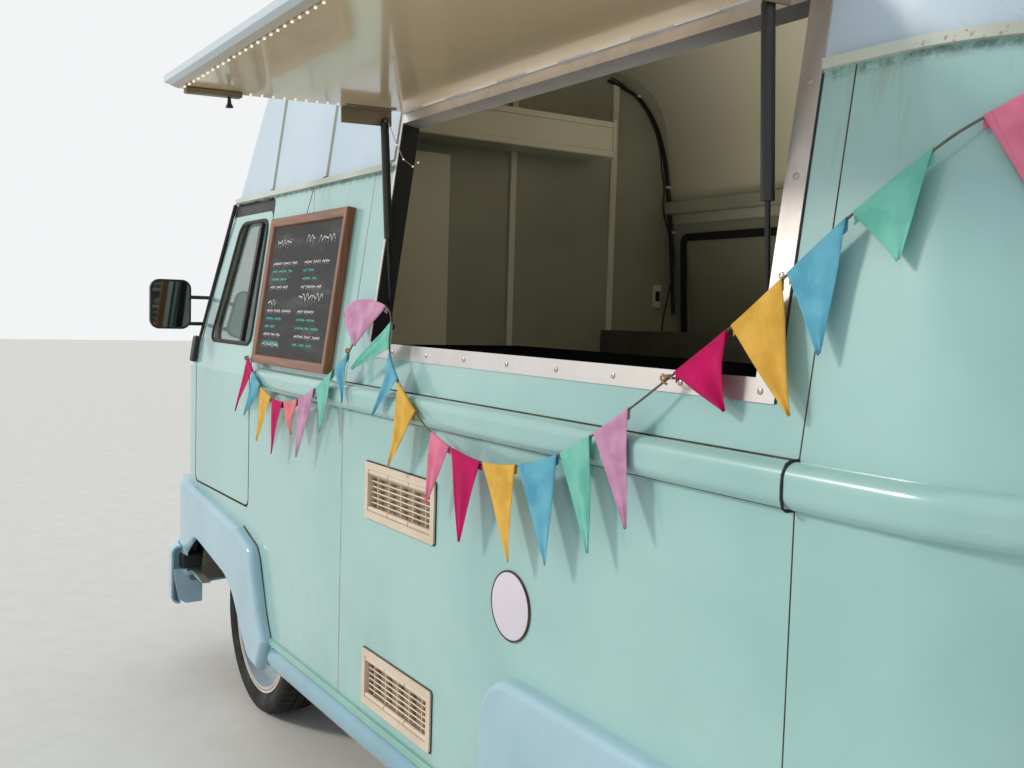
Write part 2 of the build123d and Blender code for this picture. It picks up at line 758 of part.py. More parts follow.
nodes["cab_shell"] = cab
nodes["side_panel_left"] = left_side
nodes["side_panel_right"] = middle & box(*ALL, -FAR, 0, *ALL)
nodes["rear_frame"] = rear
nodes["belt_moulding"] = belt
nodes["driver_door"] = shell & across(door_outline(0, DOOR_TOP_Z), HOUSING_INNER_Y, FAR)
nodes["driver_door"] -= across(window_outline(0), HOUSING_INNER_Y, FAR)
hanger_y = side_y(DOOR_TOP_Z) - WALL + HANGER_THICK
for hanger_x in HANGER_PLACES_X:
    nodes["driver_door"] += box(
        hanger_x - HANGER_WIDE / 2, hanger_x + HANGER_WIDE / 2, hanger_y - HANGER_THICK, hanger_y,
        DOOR_TOP_Z - HANGER_THICK, DOOR_TOP_Z + DOOR_SLOT - SEAT,
    )
nodes["passenger_door"] = passenger_door
nodes["side_door"] = side_door
nodes["tailgate"] = tailgate
nodes["lower_door_left"] = lower_doors[1]
nodes["lower_door_right"] = lower_doors[-1]

# Glass, set into the thickness of the panels
nodes["cab_glass"] = glass_layer & along(screen_outline(GLASS_GAP), DOOR_TOP_FRONT_X, FAR)
nodes["cab_glass"] += glass_layer & across(window_outline(GLASS_GAP), HOUSING_INNER_Y, FAR)
nodes["passenger_glass"] = glass_layer & across(window_outline(GLASS_GAP), -FAR, -HOUSING_INNER_Y)
window_pane = rectangle(
    -REAR_WINDOW_HALF + GLASS_GAP, REAR_WINDOW_HALF - GLASS_GAP,
    REAR_WINDOW_BOTTOM_Z + GLASS_GAP, REAR_WINDOW_TOP_Z - GLASS_GAP, REAR_WINDOW_CORNER,
)
nodes["tailgate_glass"] = glass_layer & along(window_pane, REAR_X - FAR, REAR_X + REAR_CORNER)

# High roof with its pressed ribs, and the gutter that it stands in
frame_front_x = HATCH_FRONT_X + TRIM_FRONT
frame_rear_x = HATCH_REAR_X - TRIM_REAR
frame_top_z = HINGE_Z + LEAF_HIGH / 2
roof_shell = roof_outer
rib_layer = roof(-RIB_HEIGHT)
for number in range(RIB_COUNT):
    rib_x = RIB_FIRST_X + number * RIB_PITCH
    rib_span = (rib_x - RIB_WIDTH / 2, rib_x + RIB_WIDTH / 2)
    roof_shell += rib_layer & box(*rib_span, *ALL, GUTTER_Z + GUTTER_HIGH, FAR * 2)
roof_shell -= roof_inner
roof_shell -= hatch_hole
frame_area = on_side(frame_rear_x - SEAM, frame_front_x + SEAM, HATCH_BOTTOM_Z, frame_top_z + SEAM, 0, WALL)
roof_shell -= frame_area
nodes["high_roof"] = roof_shell

gutter_z = GUTTER_Z - GUTTER_HIGH / 2
gutter = Pos(0, 0, gutter_z) * extrude(gutter_plan(0, -GUTTER_PROUD), GUTTER_HIGH)
trough = extrude(gutter_plan(0, -GUTTER_PROUD + GUTTER_SHEET), GUTTER_HIGH)
gutter -= Pos(0, 0, gutter_z + GUTTER_SHEET) * trough
gutter -= body(0) + roof_outer
flap_room = on_side(FLAP_REAR_X - DOOR_GAP, FLAP_FRONT_X + DOOR_GAP, BELT_Z, HINGE_Z, -WALL, WALL * 3)
gutter -= flap_room + frame_area
nodes["gutter_rail"] = gutter

# Flares, sill tubes and bumpers
flares = None
for hand in HANDS:
    for corners, arch in ((front_flare, front_arch), (rear_flare, rear_arch)):
        piece = flare(corners, arch, hand)
        flares = piece if flares is None else flares + piece
nodes["wheel_arches"] = flares

sill_z = FLOOR_Z - SILL_R - SEAT
sill_ends = (rear_flare[2][0] + SEAM, front_flare[0][0] - SEAM)
nodes["sill_tubes"] = Part() + [
    rod((sill_ends[0], hand * SILL_Y, sill_z), (sill_ends[1], hand * SILL_Y, sill_z), SILL_R) for hand in HANDS
]


def bumper(bottom, top, keep):
    """Blade that follows the body's plan, open on its inner side."""
    block = extrude(plan(bottom, -BUMPER_OUT), top - bottom)
    block = fillet(block.edges().group_by(Axis.Z)[0] + block.edges().group_by(Axis.Z)[-1], BUMPER_ROUND)
    inner = extrude(plan(bottom + BUMPER_SHEET, -BUMPER_OUT + BUMPER_SHEET), top - bottom - 2 * BUMPER_SHEET)
    inner = fillet(
        inner.edges().group_by(Axis.Z)[0] + inner.edges().group_by(Axis.Z)[-1], BUMPER_ROUND - BUMPER_SHEET
    )
    return (block - inner - extrude(plan(0, -FLARE_PROUD - SEAM), FAR)) & keep


front_bumper = bumper(BUMPER_BOTTOM_Z, BUMPER_TOP_Z, box(BUMPER_END_X, FAR, *ALL, *ALL))
rear_bumper = bumper(REAR_BUMPER_BOTTOM_Z, REAR_BUMPER_TOP_Z, box(-2 * FAR, REAR_BUMPER_END_X, *ALL, *ALL))
nodes["bumpers"] = front_bumper + rear_bumper

# Hatch frame: strips round the opening, lining, hinge leaf with its knuckles and the struts' studs
strips = on_side(frame_rear_x, frame_front_x, HATCH_BOTTOM_Z - TRIM_BOTTOM, HATCH_TOP_Z + TRIM_TOP, SEAT, TRIM_THICK)
lining = on_side(HATCH_REAR_X + SEAT, HATCH_FRONT_X - SEAT, HATCH_BOTTOM_Z + SEAT, HATCH_TOP_Z - SEAT,
                 -REVEAL_DEEP, TRIM_THICK)
clear_rear_x = HATCH_REAR_X + REVEAL_SHEET
clear_front_x = HATCH_FRONT_X - REVEAL_SHEET
clear = on_side(clear_rear_x, clear_front_x, HATCH_BOTTOM_Z + REVEAL_SHEET, HATCH_TOP_Z - REVEAL_SHEET,
                -REVEAL_DEEP * 2, WALL)
leaf = on_side(FLAP_REAR_X, FLAP_FRONT_X, HATCH_TOP_Z + TRIM_TOP, frame_top_z, SEAT, LEAF_THICK)
frame = strips + lining + leaf - clear
hinge_line = Plane((0, hinge_y, HINGE_Z), x_dir=hatch_plane.y_dir, z_dir=(1, 0, 0))
knuckle_count = int((FLAP_FRONT_X - FLAP_REAR_X) // KNUCKLE_PITCH)
knuckle_long = (FLAP_FRONT_X - FLAP_REAR_X) / knuckle_count
flap_knuckles = None
for number in range(knuckle_count):
    start = FLAP_REAR_X + number * knuckle_long + PIVOT_GAP
    end = start + knuckle_long - 2 * PIVOT_GAP
    knuckle = rod((start, hinge_y, HINGE_Z), (end, hinge_y, HINGE_Z), HINGE_R)
    if number % 2:
        leg = on_side(start, end, HINGE_Z - HINGE_R, HINGE_Z + HINGE_R, SEAT, HINGE_OUT)
        frame += knuckle + leg
    else:
        tab = flap_plane * (Pos(FLAP_START / 2 + 1, -(start + end) / 2, HINGE_R / 2 - FLAP_OFFSET / 2)
                            * Box(FLAP_START + 2, end - start, HINGE_R + FLAP_OFFSET))
        flap_knuckles = knuckle + tab if flap_knuckles is None else flap_knuckles + (knuckle + tab)
for strut_x, side in zip(STRUT_PLACES_X, (1, -1)):
    wall_x = clear_front_x if side > 0 else clear_rear_x
    eye_face = strut_x + side * (STRUT_EYE_WIDE / 2 + PIVOT_GAP)
    frame += rod((wall_x + side, STRUT_FOOT_Y, STRUT_FOOT_Z), (eye_face, STRUT_FOOT_Y, STRUT_FOOT_Z), PIVOT_R)
nodes["hatch_frame"] = frame

# Flap: panel with a slanted outer edge, its knuckles and a bracket for each strut
flap_side = Polyline(
    (FLAP_START, -FLAP_OFFSET), (FLAP_LONG - FLAP_EDGE_WIDE, -FLAP_OFFSET),
    (FLAP_LONG, -FLAP_OFFSET + FLAP_EDGE_HIGH), (FLAP_LONG, -FLAP_OFFSET + FLAP_THICK),
    (FLAP_START, -FLAP_OFFSET + FLAP_THICK), close=True,
)
flap_section = Plane(origin=(FLAP_REAR_X, hinge_y, HINGE_Z), x_dir=flap_plane.x_dir, z_dir=(1, 0, 0))
flap = extrude(flap_section * make_face(flap_side), FLAP_FRONT_X - FLAP_REAR_X) + flap_knuckles


def flap_box(x0, x1, out0, out1, low, high):
    """Box on the flap: between two X, two distances out from the hinge and two heights over it."""
    start = Plane(origin=(x0, hinge_y, HINGE_Z), x_dir=flap_plane.x_dir, z_dir=(1, 0, 0))
    return extrude(start * outline(rectangle(out0, out1, low, high)), x1 - x0)


bracket_ends = (BRACKET_START, BRACKET_START + BRACKET_LONG)
for strut_x, side in zip(STRUT_PLACES_X, (1, -1)):
    inner_x = strut_x + side * BRACKET_SIDE
    web = sorted((inner_x, inner_x + side * BRACKET_SHEET))
    foot = sorted((inner_x + side * BRACKET_SHEET, inner_x + side * (BRACKET_SHEET - BRACKET_WIDE)))
    flap += flap_box(*web, *bracket_ends, -FLAP_OFFSET - BRACKET_HIGH, -FLAP_OFFSET)
    flap += flap_box(*foot, *bracket_ends, -FLAP_OFFSET - BRACKET_SHEET, -FLAP_OFFSET)
    pin_end = strut_x - side * STRUT_EYE_WIDE / 2
    flap += rod((inner_x, STRUT_TOP_Y, STRUT_TOP_Z), (pin_end, STRUT_TOP_Y, STRUT_TOP_Z), PIVOT_R)
nodes["serving_flap"] = flap


def strut_eye(centre, bore):
    """Eye at a strut's end, and the bore through it."""
    start = centre - Vector(STRUT_EYE_WIDE / 2, 0, 0)
    end = centre + Vector(STRUT_EYE_WIDE / 2, 0, 0)
    return rod(tuple(start), tuple(end), STRUT_EYE_R), rod(tuple(start), tuple(end), bore)


# Gas struts: tube hung on the flap's bracket, rod that slides in it down to the stud on the jamb
cylinders = None
rods = None
for strut_x in STRUT_PLACES_X:
    top = Vector(strut_x, STRUT_TOP_Y, STRUT_TOP_Z)
    bottom = Vector(strut_x, STRUT_FOOT_Y, STRUT_FOOT_Z)
    down = (bottom - top).normalized()
    reach = (bottom - top).length
    eye, bore = strut_eye(top, PIVOT_R + PIVOT_GAP)
    tube = rod(tuple(top + down * STRUT_TUBE_START), tuple(top + down * STRUT_TUBE_LONG), STRUT_TUBE_R)
    tube -= rod(tuple(top + down * STRUT_BORE_START), tuple(top + down * STRUT_TUBE_LONG), STRUT_BORE_R)
    tube = tube + eye - bore
    foot_eye, foot_bore = strut_eye(bottom, PIVOT_R + PIVOT_GAP)
    bar = rod(tuple(top + down * (STRUT_TUBE_LONG - STRUT_ROD_INSIDE)), tuple(bottom), STRUT_ROD_R)
    piston_start = top + down * (STRUT_TUBE_LONG - STRUT_ROD_INSIDE)
    piston_end = piston_start + down * PISTON_LONG
    bar += rod(tuple(piston_start), tuple(piston_end), STRUT_BORE_R - SEAT)
    bar = bar + foot_eye - foot_bore
    cylinders = tube if cylinders is None else cylinders + tube
    rods = bar if rods is None else rods + bar
nodes["strut_cylinders"] = cylinders
nodes["strut_rods"] = rods

# Load space: bulkhead, counter under the hatch, unit on the right, shelf, cupboard panel and cables
inside = (body(WALL + SEAT) + roof(ROOF_WALL + SEAT)) & box(*ALL, *ALL, FLOOR_Z + FLOOR_THICK, ROOF_Z)
bulkhead = inside & box(BULKHEAD_X, BULKHEAD_X + BULKHEAD_THICK, *ALL, *ALL)
for hand in HANDS:
    bulkhead -= housing(0, hand, HOUSING_R + SEAT, HOUSING_INNER_Y - SEAT)
nodes["bulkhead"] = bulkhead

counter_y = side_y(COUNTER_TOP_Z) - REVEAL_DEEP - SEAM
counter_x = (HATCH_REAR_X + COUNTER_SETBACK, HATCH_FRONT_X - COUNTER_SETBACK)
under_z = COUNTER_TOP_Z - COUNTER_THICK
floor_top_z = FLOOR_Z + FLOOR_THICK
counter = box(HATCH_REAR_X, HATCH_FRONT_X, COUNTER_INNER_Y, counter_y, under_z, COUNTER_TOP_Z)
front_y = COUNTER_INNER_Y + COUNTER_SETBACK
base = box(*counter_x, front_y, front_y + COUNTER_PANEL, floor_top_z, under_z)
for end_x in (counter_x[0], counter_x[1] - COUNTER_PANEL):
    base += box(end_x, end_x + COUNTER_PANEL, front_y, HALF_WIDTH - WALL * 2, floor_top_z, under_z)
base -= housing(REAR_AXLE_X, 1, HOUSING_R + SEAT, HOUSING_INNER_Y - SEAT)
nodes["counter_top"] = counter
nodes["counter_base"] = base

unit_y = -side_y(UNIT_TOP_Z) + WALL * 2
unit = box(BULKHEAD_X - UNIT_LONG, BULKHEAD_X - SEAT, unit_y, UNIT_INNER_Y, floor_top_z, UNIT_TOP_Z)
nodes["kitchen_unit"] = unit - housing(0, -1, HOUSING_R + SEAT, HOUSING_INNER_Y - SEAT)
shelf = box(
    BULKHEAD_X - SHELF_DEEP, BULKHEAD_X - SEAT, SHELF_RIGHT_Y, SHELF_LEFT_Y, SHELF_BOTTOM_Z,
    SHELF_BOTTOM_Z + SHELF_HIGH,
)
shelf -= box(
    BULKHEAD_X - SHELF_DEEP + SHELF_BOARD, BULKHEAD_X - SHELF_BOARD, SHELF_RIGHT_Y + SHELF_BOARD,
    SHELF_LEFT_Y - SHELF_BOARD, SHELF_BOTTOM_Z + SHELF_BOARD, FAR * 2,
)
nodes["shelf"] = shelf
cupboard = box(
    BULKHEAD_X - CUPBOARD_DEEP, BULKHEAD_X - SEAT, CUPBOARD_RIGHT_Y, CUPBOARD_LEFT_Y, floor_top_z, CUPBOARD_TOP_Z
)
nodes["cupboard"] = cupboard - housing(0, 1, HOUSING_R + SEAT, HOUSING_INNER_Y - SEAT)


def bent_path(points):
    """Straight runs joined by arcs, each as large as its two runs allow, and the arcs' radii."""
    steps = [end - start for start, end in zip(points, points[1:])]
    radii = []
    for before, after in zip(steps, steps[1:]):
        turn = radians(before.get_angle(after))
        radii.append(BEND_SHARE * min(before.length, after.length) / tan(turn / 2))
    return FilletPolyline(*points, radius=radii), radii


def tube_along(points, radius):
    path, radii = bent_path([Vector(*point) for point in points])
    profile = Plane(origin=path @ 0, z_dir=path % 0) * Circle(radius)
    return sweep(profile, path), path, radii


cables = None
for number in range(CABLES):
    cable_x = BULKHEAD_X - CABLE_R - SEAT - number * (2 * CABLE_R + SEAT)
    tube, _, _ = tube_along([(cable_x, y, z) for y, z in CABLE_POINTS], CABLE_R)
    cables = tube if cables is None else cables + tube
nodes["cable_run"] = cables

# Cab: two seats over the wheel housings, dashboard with the steering wheel, and the engine between
seats = None
for hand in HANDS:
    left = hand * SEAT_Y - SEAT_WIDE / 2
    right = hand * SEAT_Y + SEAT_WIDE / 2
    base = box(SEAT_BACK_X, SEAT_FRONT_X, left, right, floor_top_z, SEAT_BASE_TOP_Z)
    base -= housing(0, hand, HOUSING_R + SEAT, HOUSING_INNER_Y - SEAT)
    cushion = box(
        SEAT_BACK_X, SEAT_FRONT_X + SEAT_ROUND, left, right, SEAT_BASE_TOP_Z, SEAT_BASE_TOP_Z + CUSHION_THICK
    )
    back = box(SEAT_BACK_X, SEAT_BACK_X + SEAT_BACK_THICK, left, right, SEAT_BASE_TOP_Z, SEAT_TOP_Z)
    seat = base + fillet(cushion.edges(), SEAT_ROUND) + fillet(back.edges(), SEAT_ROUND)
    seats = seat if seats is None else seats + seat
nodes["cab_seats"] = seats

dash = inside & box(DASH_REAR_X, DASH_FRONT_X, *ALL, DASH_BOTTOM_Z, DASH_TOP_Z)
for hand in HANDS:
    opening = door_outline(DOOR_GAP, DOOR_TOP_Z)
    dash -= across(opening, *sorted((hand * (HALF_WIDTH - WALL * 2), hand * FAR)))
wheel_place = Pos(STEERING_X, STEERING_Y, STEERING_Z) * Rot(0, -STEERING_TILT, 0)
dash += wheel_place * Torus(STEERING_R, STEERING_RIM)
for spoke in range(STEERING_SPOKES):
    turn = Rot(0, 0, 360 / STEERING_SPOKES * spoke)
    dash += wheel_place * turn * box(0, STEERING_R, -COLUMN_R, COLUMN_R, -SPOKE_THICK / 2, SPOKE_THICK / 2)
column_long = (DASH_REAR_X + COLUMN_IN_DASH - STEERING_X) / sin(radians(STEERING_TILT))
dash += wheel_place * Pos(0, 0, -column_long / 2) * Cylinder(COLUMN_R, column_long)
nodes["dashboard"] = dash

engine = box(ENGINE_REAR_X, ENGINE_FRONT_X, -ENGINE_HALF, ENGINE_HALF, ENGINE_BOTTOM_Z, ENGINE_TOP_Z)
engine = fillet(engine.edges().filter_by(Axis.X) + engine.edges().filter_by(Axis.Z), SEAT_ROUND)
rail_inner = RAIL_Y - RAIL_WIDE / 2
rail_bottom = FLOOR_Z - SEAT - RAIL_HIGH
for mount_x in (ENGINE_REAR_X + ENGINE_MOUNT, ENGINE_FRONT_X - ENGINE_MOUNT):
    engine += box(mount_x - ENGINE_MOUNT / 2, mount_x + ENGINE_MOUNT / 2, -rail_inner + SEAT, rail_inner - SEAT,
                  *[rail_bottom + height for height in ENGINE_MOUNT_HEIGHTS])
nodes["engine_block"] = engine

# Under the floor: rails with crossmembers, arms, bumper stays and towing eyes
rail_top = FLOOR_Z - SEAT
chassis = None
for hand in HANDS:
    rail_span = sorted((hand * (RAIL_Y - RAIL_WIDE / 2), hand * (RAIL_Y + RAIL_WIDE / 2)))
    rail = box(RAIL_REAR_X, RAIL_FRONT_X, *rail_span, rail_bottom, rail_top)
    chassis = rail if chassis is None else chassis + rail
for cross_x in CROSS_PLACES_X:
    chassis += box(cross_x - CROSS_WIDE / 2, cross_x + CROSS_WIDE / 2, -RAIL_Y, RAIL_Y, rail_bottom, rail_top)
stay_space = extrude(plan(0, -BUMPER_OUT + BUMPER_SHEET + SEAT), FAR)
stay_y = (RAIL_Y - RAIL_WIDE / 2, RAIL_Y + RAIL_WIDE / 2)
eye_front_x = NOSE_X - BUMPER_OUT + EYE_INSET
eye_rear_x = REAR_X + EYE_INSET
for hand in HANDS:
    stay_span = sorted((hand * stay_y[0], hand * stay_y[1]))
    for start_x, end_x in ((RAIL_FRONT_X, FAR), (-FAR * 2, RAIL_REAR_X)):
        stay = box(start_x, end_x, *stay_span, rail_top - BUMPER_STAY_HIGH, rail_top)
        chassis += stay & stay_space
for eye_x in (eye_front_x, eye_rear_x):
    eye = box(eye_x - EYE_R, eye_x + EYE_R, RAIL_Y - EYE_THICK / 2, RAIL_Y + EYE_THICK / 2, EYE_Z, rail_top)
    eye += rod((eye_x, RAIL_Y - EYE_THICK / 2, EYE_Z), (eye_x, RAIL_Y + EYE_THICK / 2, EYE_Z), EYE_R)
    eye -= rod((eye_x, RAIL_Y - EYE_THICK / 2, EYE_Z), (eye_x, RAIL_Y + EYE_THICK / 2, EYE_Z), EYE_BORE_R)
    chassis += eye
upright_low = UPRIGHT_Z - UPRIGHT_HIGH / 2
upright_high = UPRIGHT_Z + UPRIGHT_HIGH / 2
for hand in HANDS:
    arm_span = sorted((hand * RAIL_Y, hand * KINGPIN_Y))
    for low in (upright_low - 1 - ARM_THICK, upright_high + 1):
        chassis += box(-ARM_WIDE / 2, ARM_WIDE / 2, *arm_span, low, low + ARM_THICK)
        chassis += rod((0, hand * KINGPIN_Y, low), (0, hand * KINGPIN_Y, low + ARM_THICK), ARM_WIDE / 2)
    chassis += box(-ARM_WIDE / 2, ARM_WIDE / 2, *sorted((hand * stay_y[0], hand * stay_y[1])),
                   upright_low - 1 - ARM_THICK, rail_bottom)
    chassis += rod((0, hand * KINGPIN_Y, upright_low - 2), (0, hand * KINGPIN_Y, upright_high + 2), KINGPIN_R)
nodes["chassis_frame"] = chassis

# Front knuckles on their kingpins, and the rear trailing arms on their cross tube
stub_end = WHEEL_Y + DISC_Y + HUB_OUT
for hand, name in ((1, "knuckle_left"), (-1, "knuckle_right")):
    knuckle = rod((0, hand * KINGPIN_Y, upright_low), (0, hand * KINGPIN_Y, upright_high), UPRIGHT_R)
    knuckle += rod((0, hand * KINGPIN_Y, TYRE_R), (0, hand * stub_end, TYRE_R), STUB_R)
    knuckle -= rod((0, hand * KINGPIN_Y, upright_low), (0, hand * KINGPIN_Y, upright_high), KINGPIN_R + PIVOT_GAP)
    nodes[name] = knuckle
tube_z = rail_bottom - CROSS_TUBE_R - SEAT
arm_out = TRAILING_ARM_Y + TRAILING_ARM_WIDE / 2
rear_axle = rod((TRAILING_PIVOT_X, -arm_out, tube_z), (TRAILING_PIVOT_X, arm_out, tube_z), CROSS_TUBE_R)
for hand in HANDS:
    arm_in = hand * (TRAILING_ARM_Y - TRAILING_ARM_WIDE / 2)
    arm = across([
        (TRAILING_PIVOT_X, tube_z - CROSS_TUBE_R, 0), (REAR_AXLE_X, TYRE_R - UPRIGHT_R, 0),
        (REAR_AXLE_X, TYRE_R + UPRIGHT_R, 0), (TRAILING_PIVOT_X, tube_z + CROSS_TUBE_R, 0),
    ], *sorted((arm_in, hand * arm_out)))
    arm += rod((REAR_AXLE_X, arm_in, TYRE_R), (REAR_AXLE_X, hand * arm_out, TYRE_R), UPRIGHT_R)
    arm += rod((REAR_AXLE_X, arm_in, TYRE_R), (REAR_AXLE_X, hand * stub_end, TYRE_R), STUB_R)
    rear_axle += arm
nodes["rear_axle"] = rear_axle

tank = box(
    TANK_X - TANK_LONG / 2, TANK_X + TANK_LONG / 2, TANK_Y - TANK_WIDE / 2, TANK_Y + TANK_WIDE / 2,
    rail_top - TANK_HIGH, rail_top,
)
nodes["fuel_tank"] = fillet(tank.edges(), TANK_ROUND)
exhaust_z = rail_bottom - EXHAUST_R - SEAT
exhaust = rod((ENGINE_REAR_X - SEAT, EXHAUST_Y, exhaust_z), (EXHAUST_END_X, EXHAUST_Y, exhaust_z), EXHAUST_R)
muffler_z = exhaust_z - MUFFLER_R + EXHAUST_R - SEAM
exhaust += rod(
    (MUFFLER_FRONT_X, EXHAUST_Y, muffler_z), (MUFFLER_FRONT_X - MUFFLER_LONG, EXHAUST_Y, muffler_z), MUFFLER_R
)
nodes["exhaust"] = exhaust


# Wheels: pressed rim and disc turned round the axle, with slots, and tyres on their beads
def turned(points, hand, axle_x):
    """Solid turned round a wheel's axle, from (distance outward from the wheel's middle, radius)."""
    profile = make_face(Polyline(*points, close=True))
    solid = revolve(profile, Axis.X)
    turn = Rot(0, 0, 90 * hand)
    return Pos(axle_x, hand * WHEEL_Y, TYRE_R) * turn * solid


rim_points = [
    (-RIM_HALF, RIM_LIP_R), (-RIM_HALF + RIM_SHEET, RIM_LIP_R), (-RIM_HALF + RIM_SHEET, RIM_BARREL_R),
    (RIM_HALF - RIM_SHEET, RIM_BARREL_R), (RIM_HALF - RIM_SHEET, RIM_LIP_R), (RIM_HALF, RIM_LIP_R),
    (RIM_HALF, RIM_BARREL_R - RIM_SHEET), (DISC_Y, RIM_BARREL_R - RIM_SHEET), (DISC_Y + DISC_DISH, SLOT_RING_R),
    (DISC_Y, HUB_CAP_R), (DISC_Y, WHEEL_BORE_R), (-DISC_Y, WHEEL_BORE_R), (-DISC_Y, WHEEL_BORE_R + BOSS_WALL),
    (DISC_Y - RIM_SHEET, WHEEL_BORE_R + BOSS_WALL), (DISC_Y - RIM_SHEET, HUB_CAP_R),
    (DISC_Y + DISC_DISH - RIM_SHEET, SLOT_RING_R), (DISC_Y - RIM_SHEET, RIM_BARREL_R - RIM_SHEET),
    (-RIM_HALF, RIM_BARREL_R - RIM_SHEET),
]
cap_points = [
    (DISC_Y, HUB_CAP_R), (DISC_Y + CAP_SHOULDER_DEEP, CAP_SHOULDER_R), (DISC_Y + HUB_CAP_DEEP, CAP_FACE_R),
    (DISC_Y + HUB_CAP_DEEP, 0), (DISC_Y + HUB_CAP_DEEP - RIM_SHEET, 0),
    (DISC_Y + HUB_CAP_DEEP - RIM_SHEET, CAP_FACE_R - RIM_SHEET / 2),
    (DISC_Y + CAP_SHOULDER_DEEP - RIM_SHEET, CAP_SHOULDER_R - RIM_SHEET), (DISC_Y, HUB_CAP_R - RIM_SHEET),
]
half_tyre = TYRE_WIDTH / 2
bead = RIM_HALF - RIM_SHEET - SEAT
outer_wall = [(half_tyre - inward, TYRE_R - lower) for inward, lower in TYRE_SHOULDER]
tyre_points = [(bead, RIM_BARREL_R + SEAT), (bead, RIM_LIP_R + TYRE_LIP_GAP), *outer_wall]
tyre_points += [(-side, radius) for side, radius in reversed(tyre_points)]
for end_name, axle_x in (("front", 0), ("rear", REAR_AXLE_X)):
    for hand, side_name in ((1, "left"), (-1, "right")):
        wheel = turned(rim_points, hand, axle_x) + turned(cap_points, hand, axle_x)
        for number in range(WHEEL_SLOTS):
            turn = Rot(0, 360 / WHEEL_SLOTS * number, 0)
            slot = Pos(axle_x, hand * WHEEL_Y, TYRE_R) * turn * Pos(SLOT_RING_R, 0, 0)
            wheel -= slot * Rot(90, 0, 0) * Cylinder(SLOT_R, RIM_HALF * 2)
        nodes[f"wheel_{end_name}_{side_name}"] = wheel
        nodes[f"tyre_{end_name}_{side_name}"] = turned(tyre_points, hand, axle_x)

# Nose and tail: lamps and grille
lamps = None
for place in lamp_places:
    bowl = make_face(Polyline(
        (-LAMP_DEEP, 0), (-LAMP_DEEP, LAMP_BACK_R), (-LAMP_DEEP / 3, LAMP_R - SEAT), (SEAT * 2, LAMP_R - SEAT),
        (SEAT * 2, LAMP_R + LAMP_RING), (LAMP_RING / 2, LAMP_R + LAMP_RING), (LAMP_RING, LAMP_R),
        (LAMP_RING, LENS_R), (LENS_SHOULDER_OUT, LENS_R / 2), (LENS_OUT, 0), close=True,
    ))
    lamp = place * revolve(bowl, Axis.X)
    lamps = lamp if lamps is None else lamps + lamp
nodes["headlamps"] = lamps

lamp_layer = extrude(plan(0, -REAR_LAMP_PROUD), BELT_Z) - extrude(plan(0, -SEAT), BELT_Z)
rear_lamps = None
for hand in HANDS:
    lens = along(
        rectangle(
            hand * REAR_LAMP_Y - REAR_LAMP_WIDE / 2, hand * REAR_LAMP_Y + REAR_LAMP_WIDE / 2,
            REAR_LAMP_Z - REAR_LAMP_HIGH / 2, REAR_LAMP_Z + REAR_LAMP_HIGH / 2, REAR_LAMP_ROUND,
        ), REAR_X - FAR, REAR_X + REAR_CORNER,
    )
    lens &= lamp_layer
    rear_lamps = lens if rear_lamps is None else rear_lamps + lens
nodes["rear_lamps"] = rear_lamps

grille_layer = extrude(plan(0, -GRILLE_PROUD), BELT_Z) - extrude(plan(0, WALL / 2), BELT_Z)
grille_inner = rectangle(
    -GRILLE_HALF + GRILLE_EDGE, GRILLE_HALF - GRILLE_EDGE, GRILLE_BOTTOM_Z + GRILLE_EDGE,
    GRILLE_TOP_Z - GRILLE_EDGE, GRILLE_EDGE / 2,
)
grille_outer = rectangle(
    -GRILLE_HALF + SEAT, GRILLE_HALF - SEAT, GRILLE_BOTTOM_Z + SEAT, GRILLE_TOP_Z - SEAT, GRILLE_EDGE
)
grille = along(grille_outer, ENGINE_FRONT_X, FAR) - along(grille_inner, ENGINE_FRONT_X, FAR)
bar_pitch = (GRILLE_TOP_Z - GRILLE_BOTTOM_Z - 2 * GRILLE_EDGE) / (GRILLE_BARS + 1)
for number in range(GRILLE_BARS):
    bar_z = GRILLE_BOTTOM_Z + GRILLE_EDGE + bar_pitch * (number + 1)
    grille += box(
        ENGINE_FRONT_X, FAR, -GRILLE_HALF + GRILLE_EDGE / 2, GRILLE_HALF - GRILLE_EDGE / 2,
        bar_z - GRILLE_BAR_HIGH / 2, bar_z + GRILLE_BAR_HIGH / 2,
    )
nodes["front_grille"] = grille & grille_layer

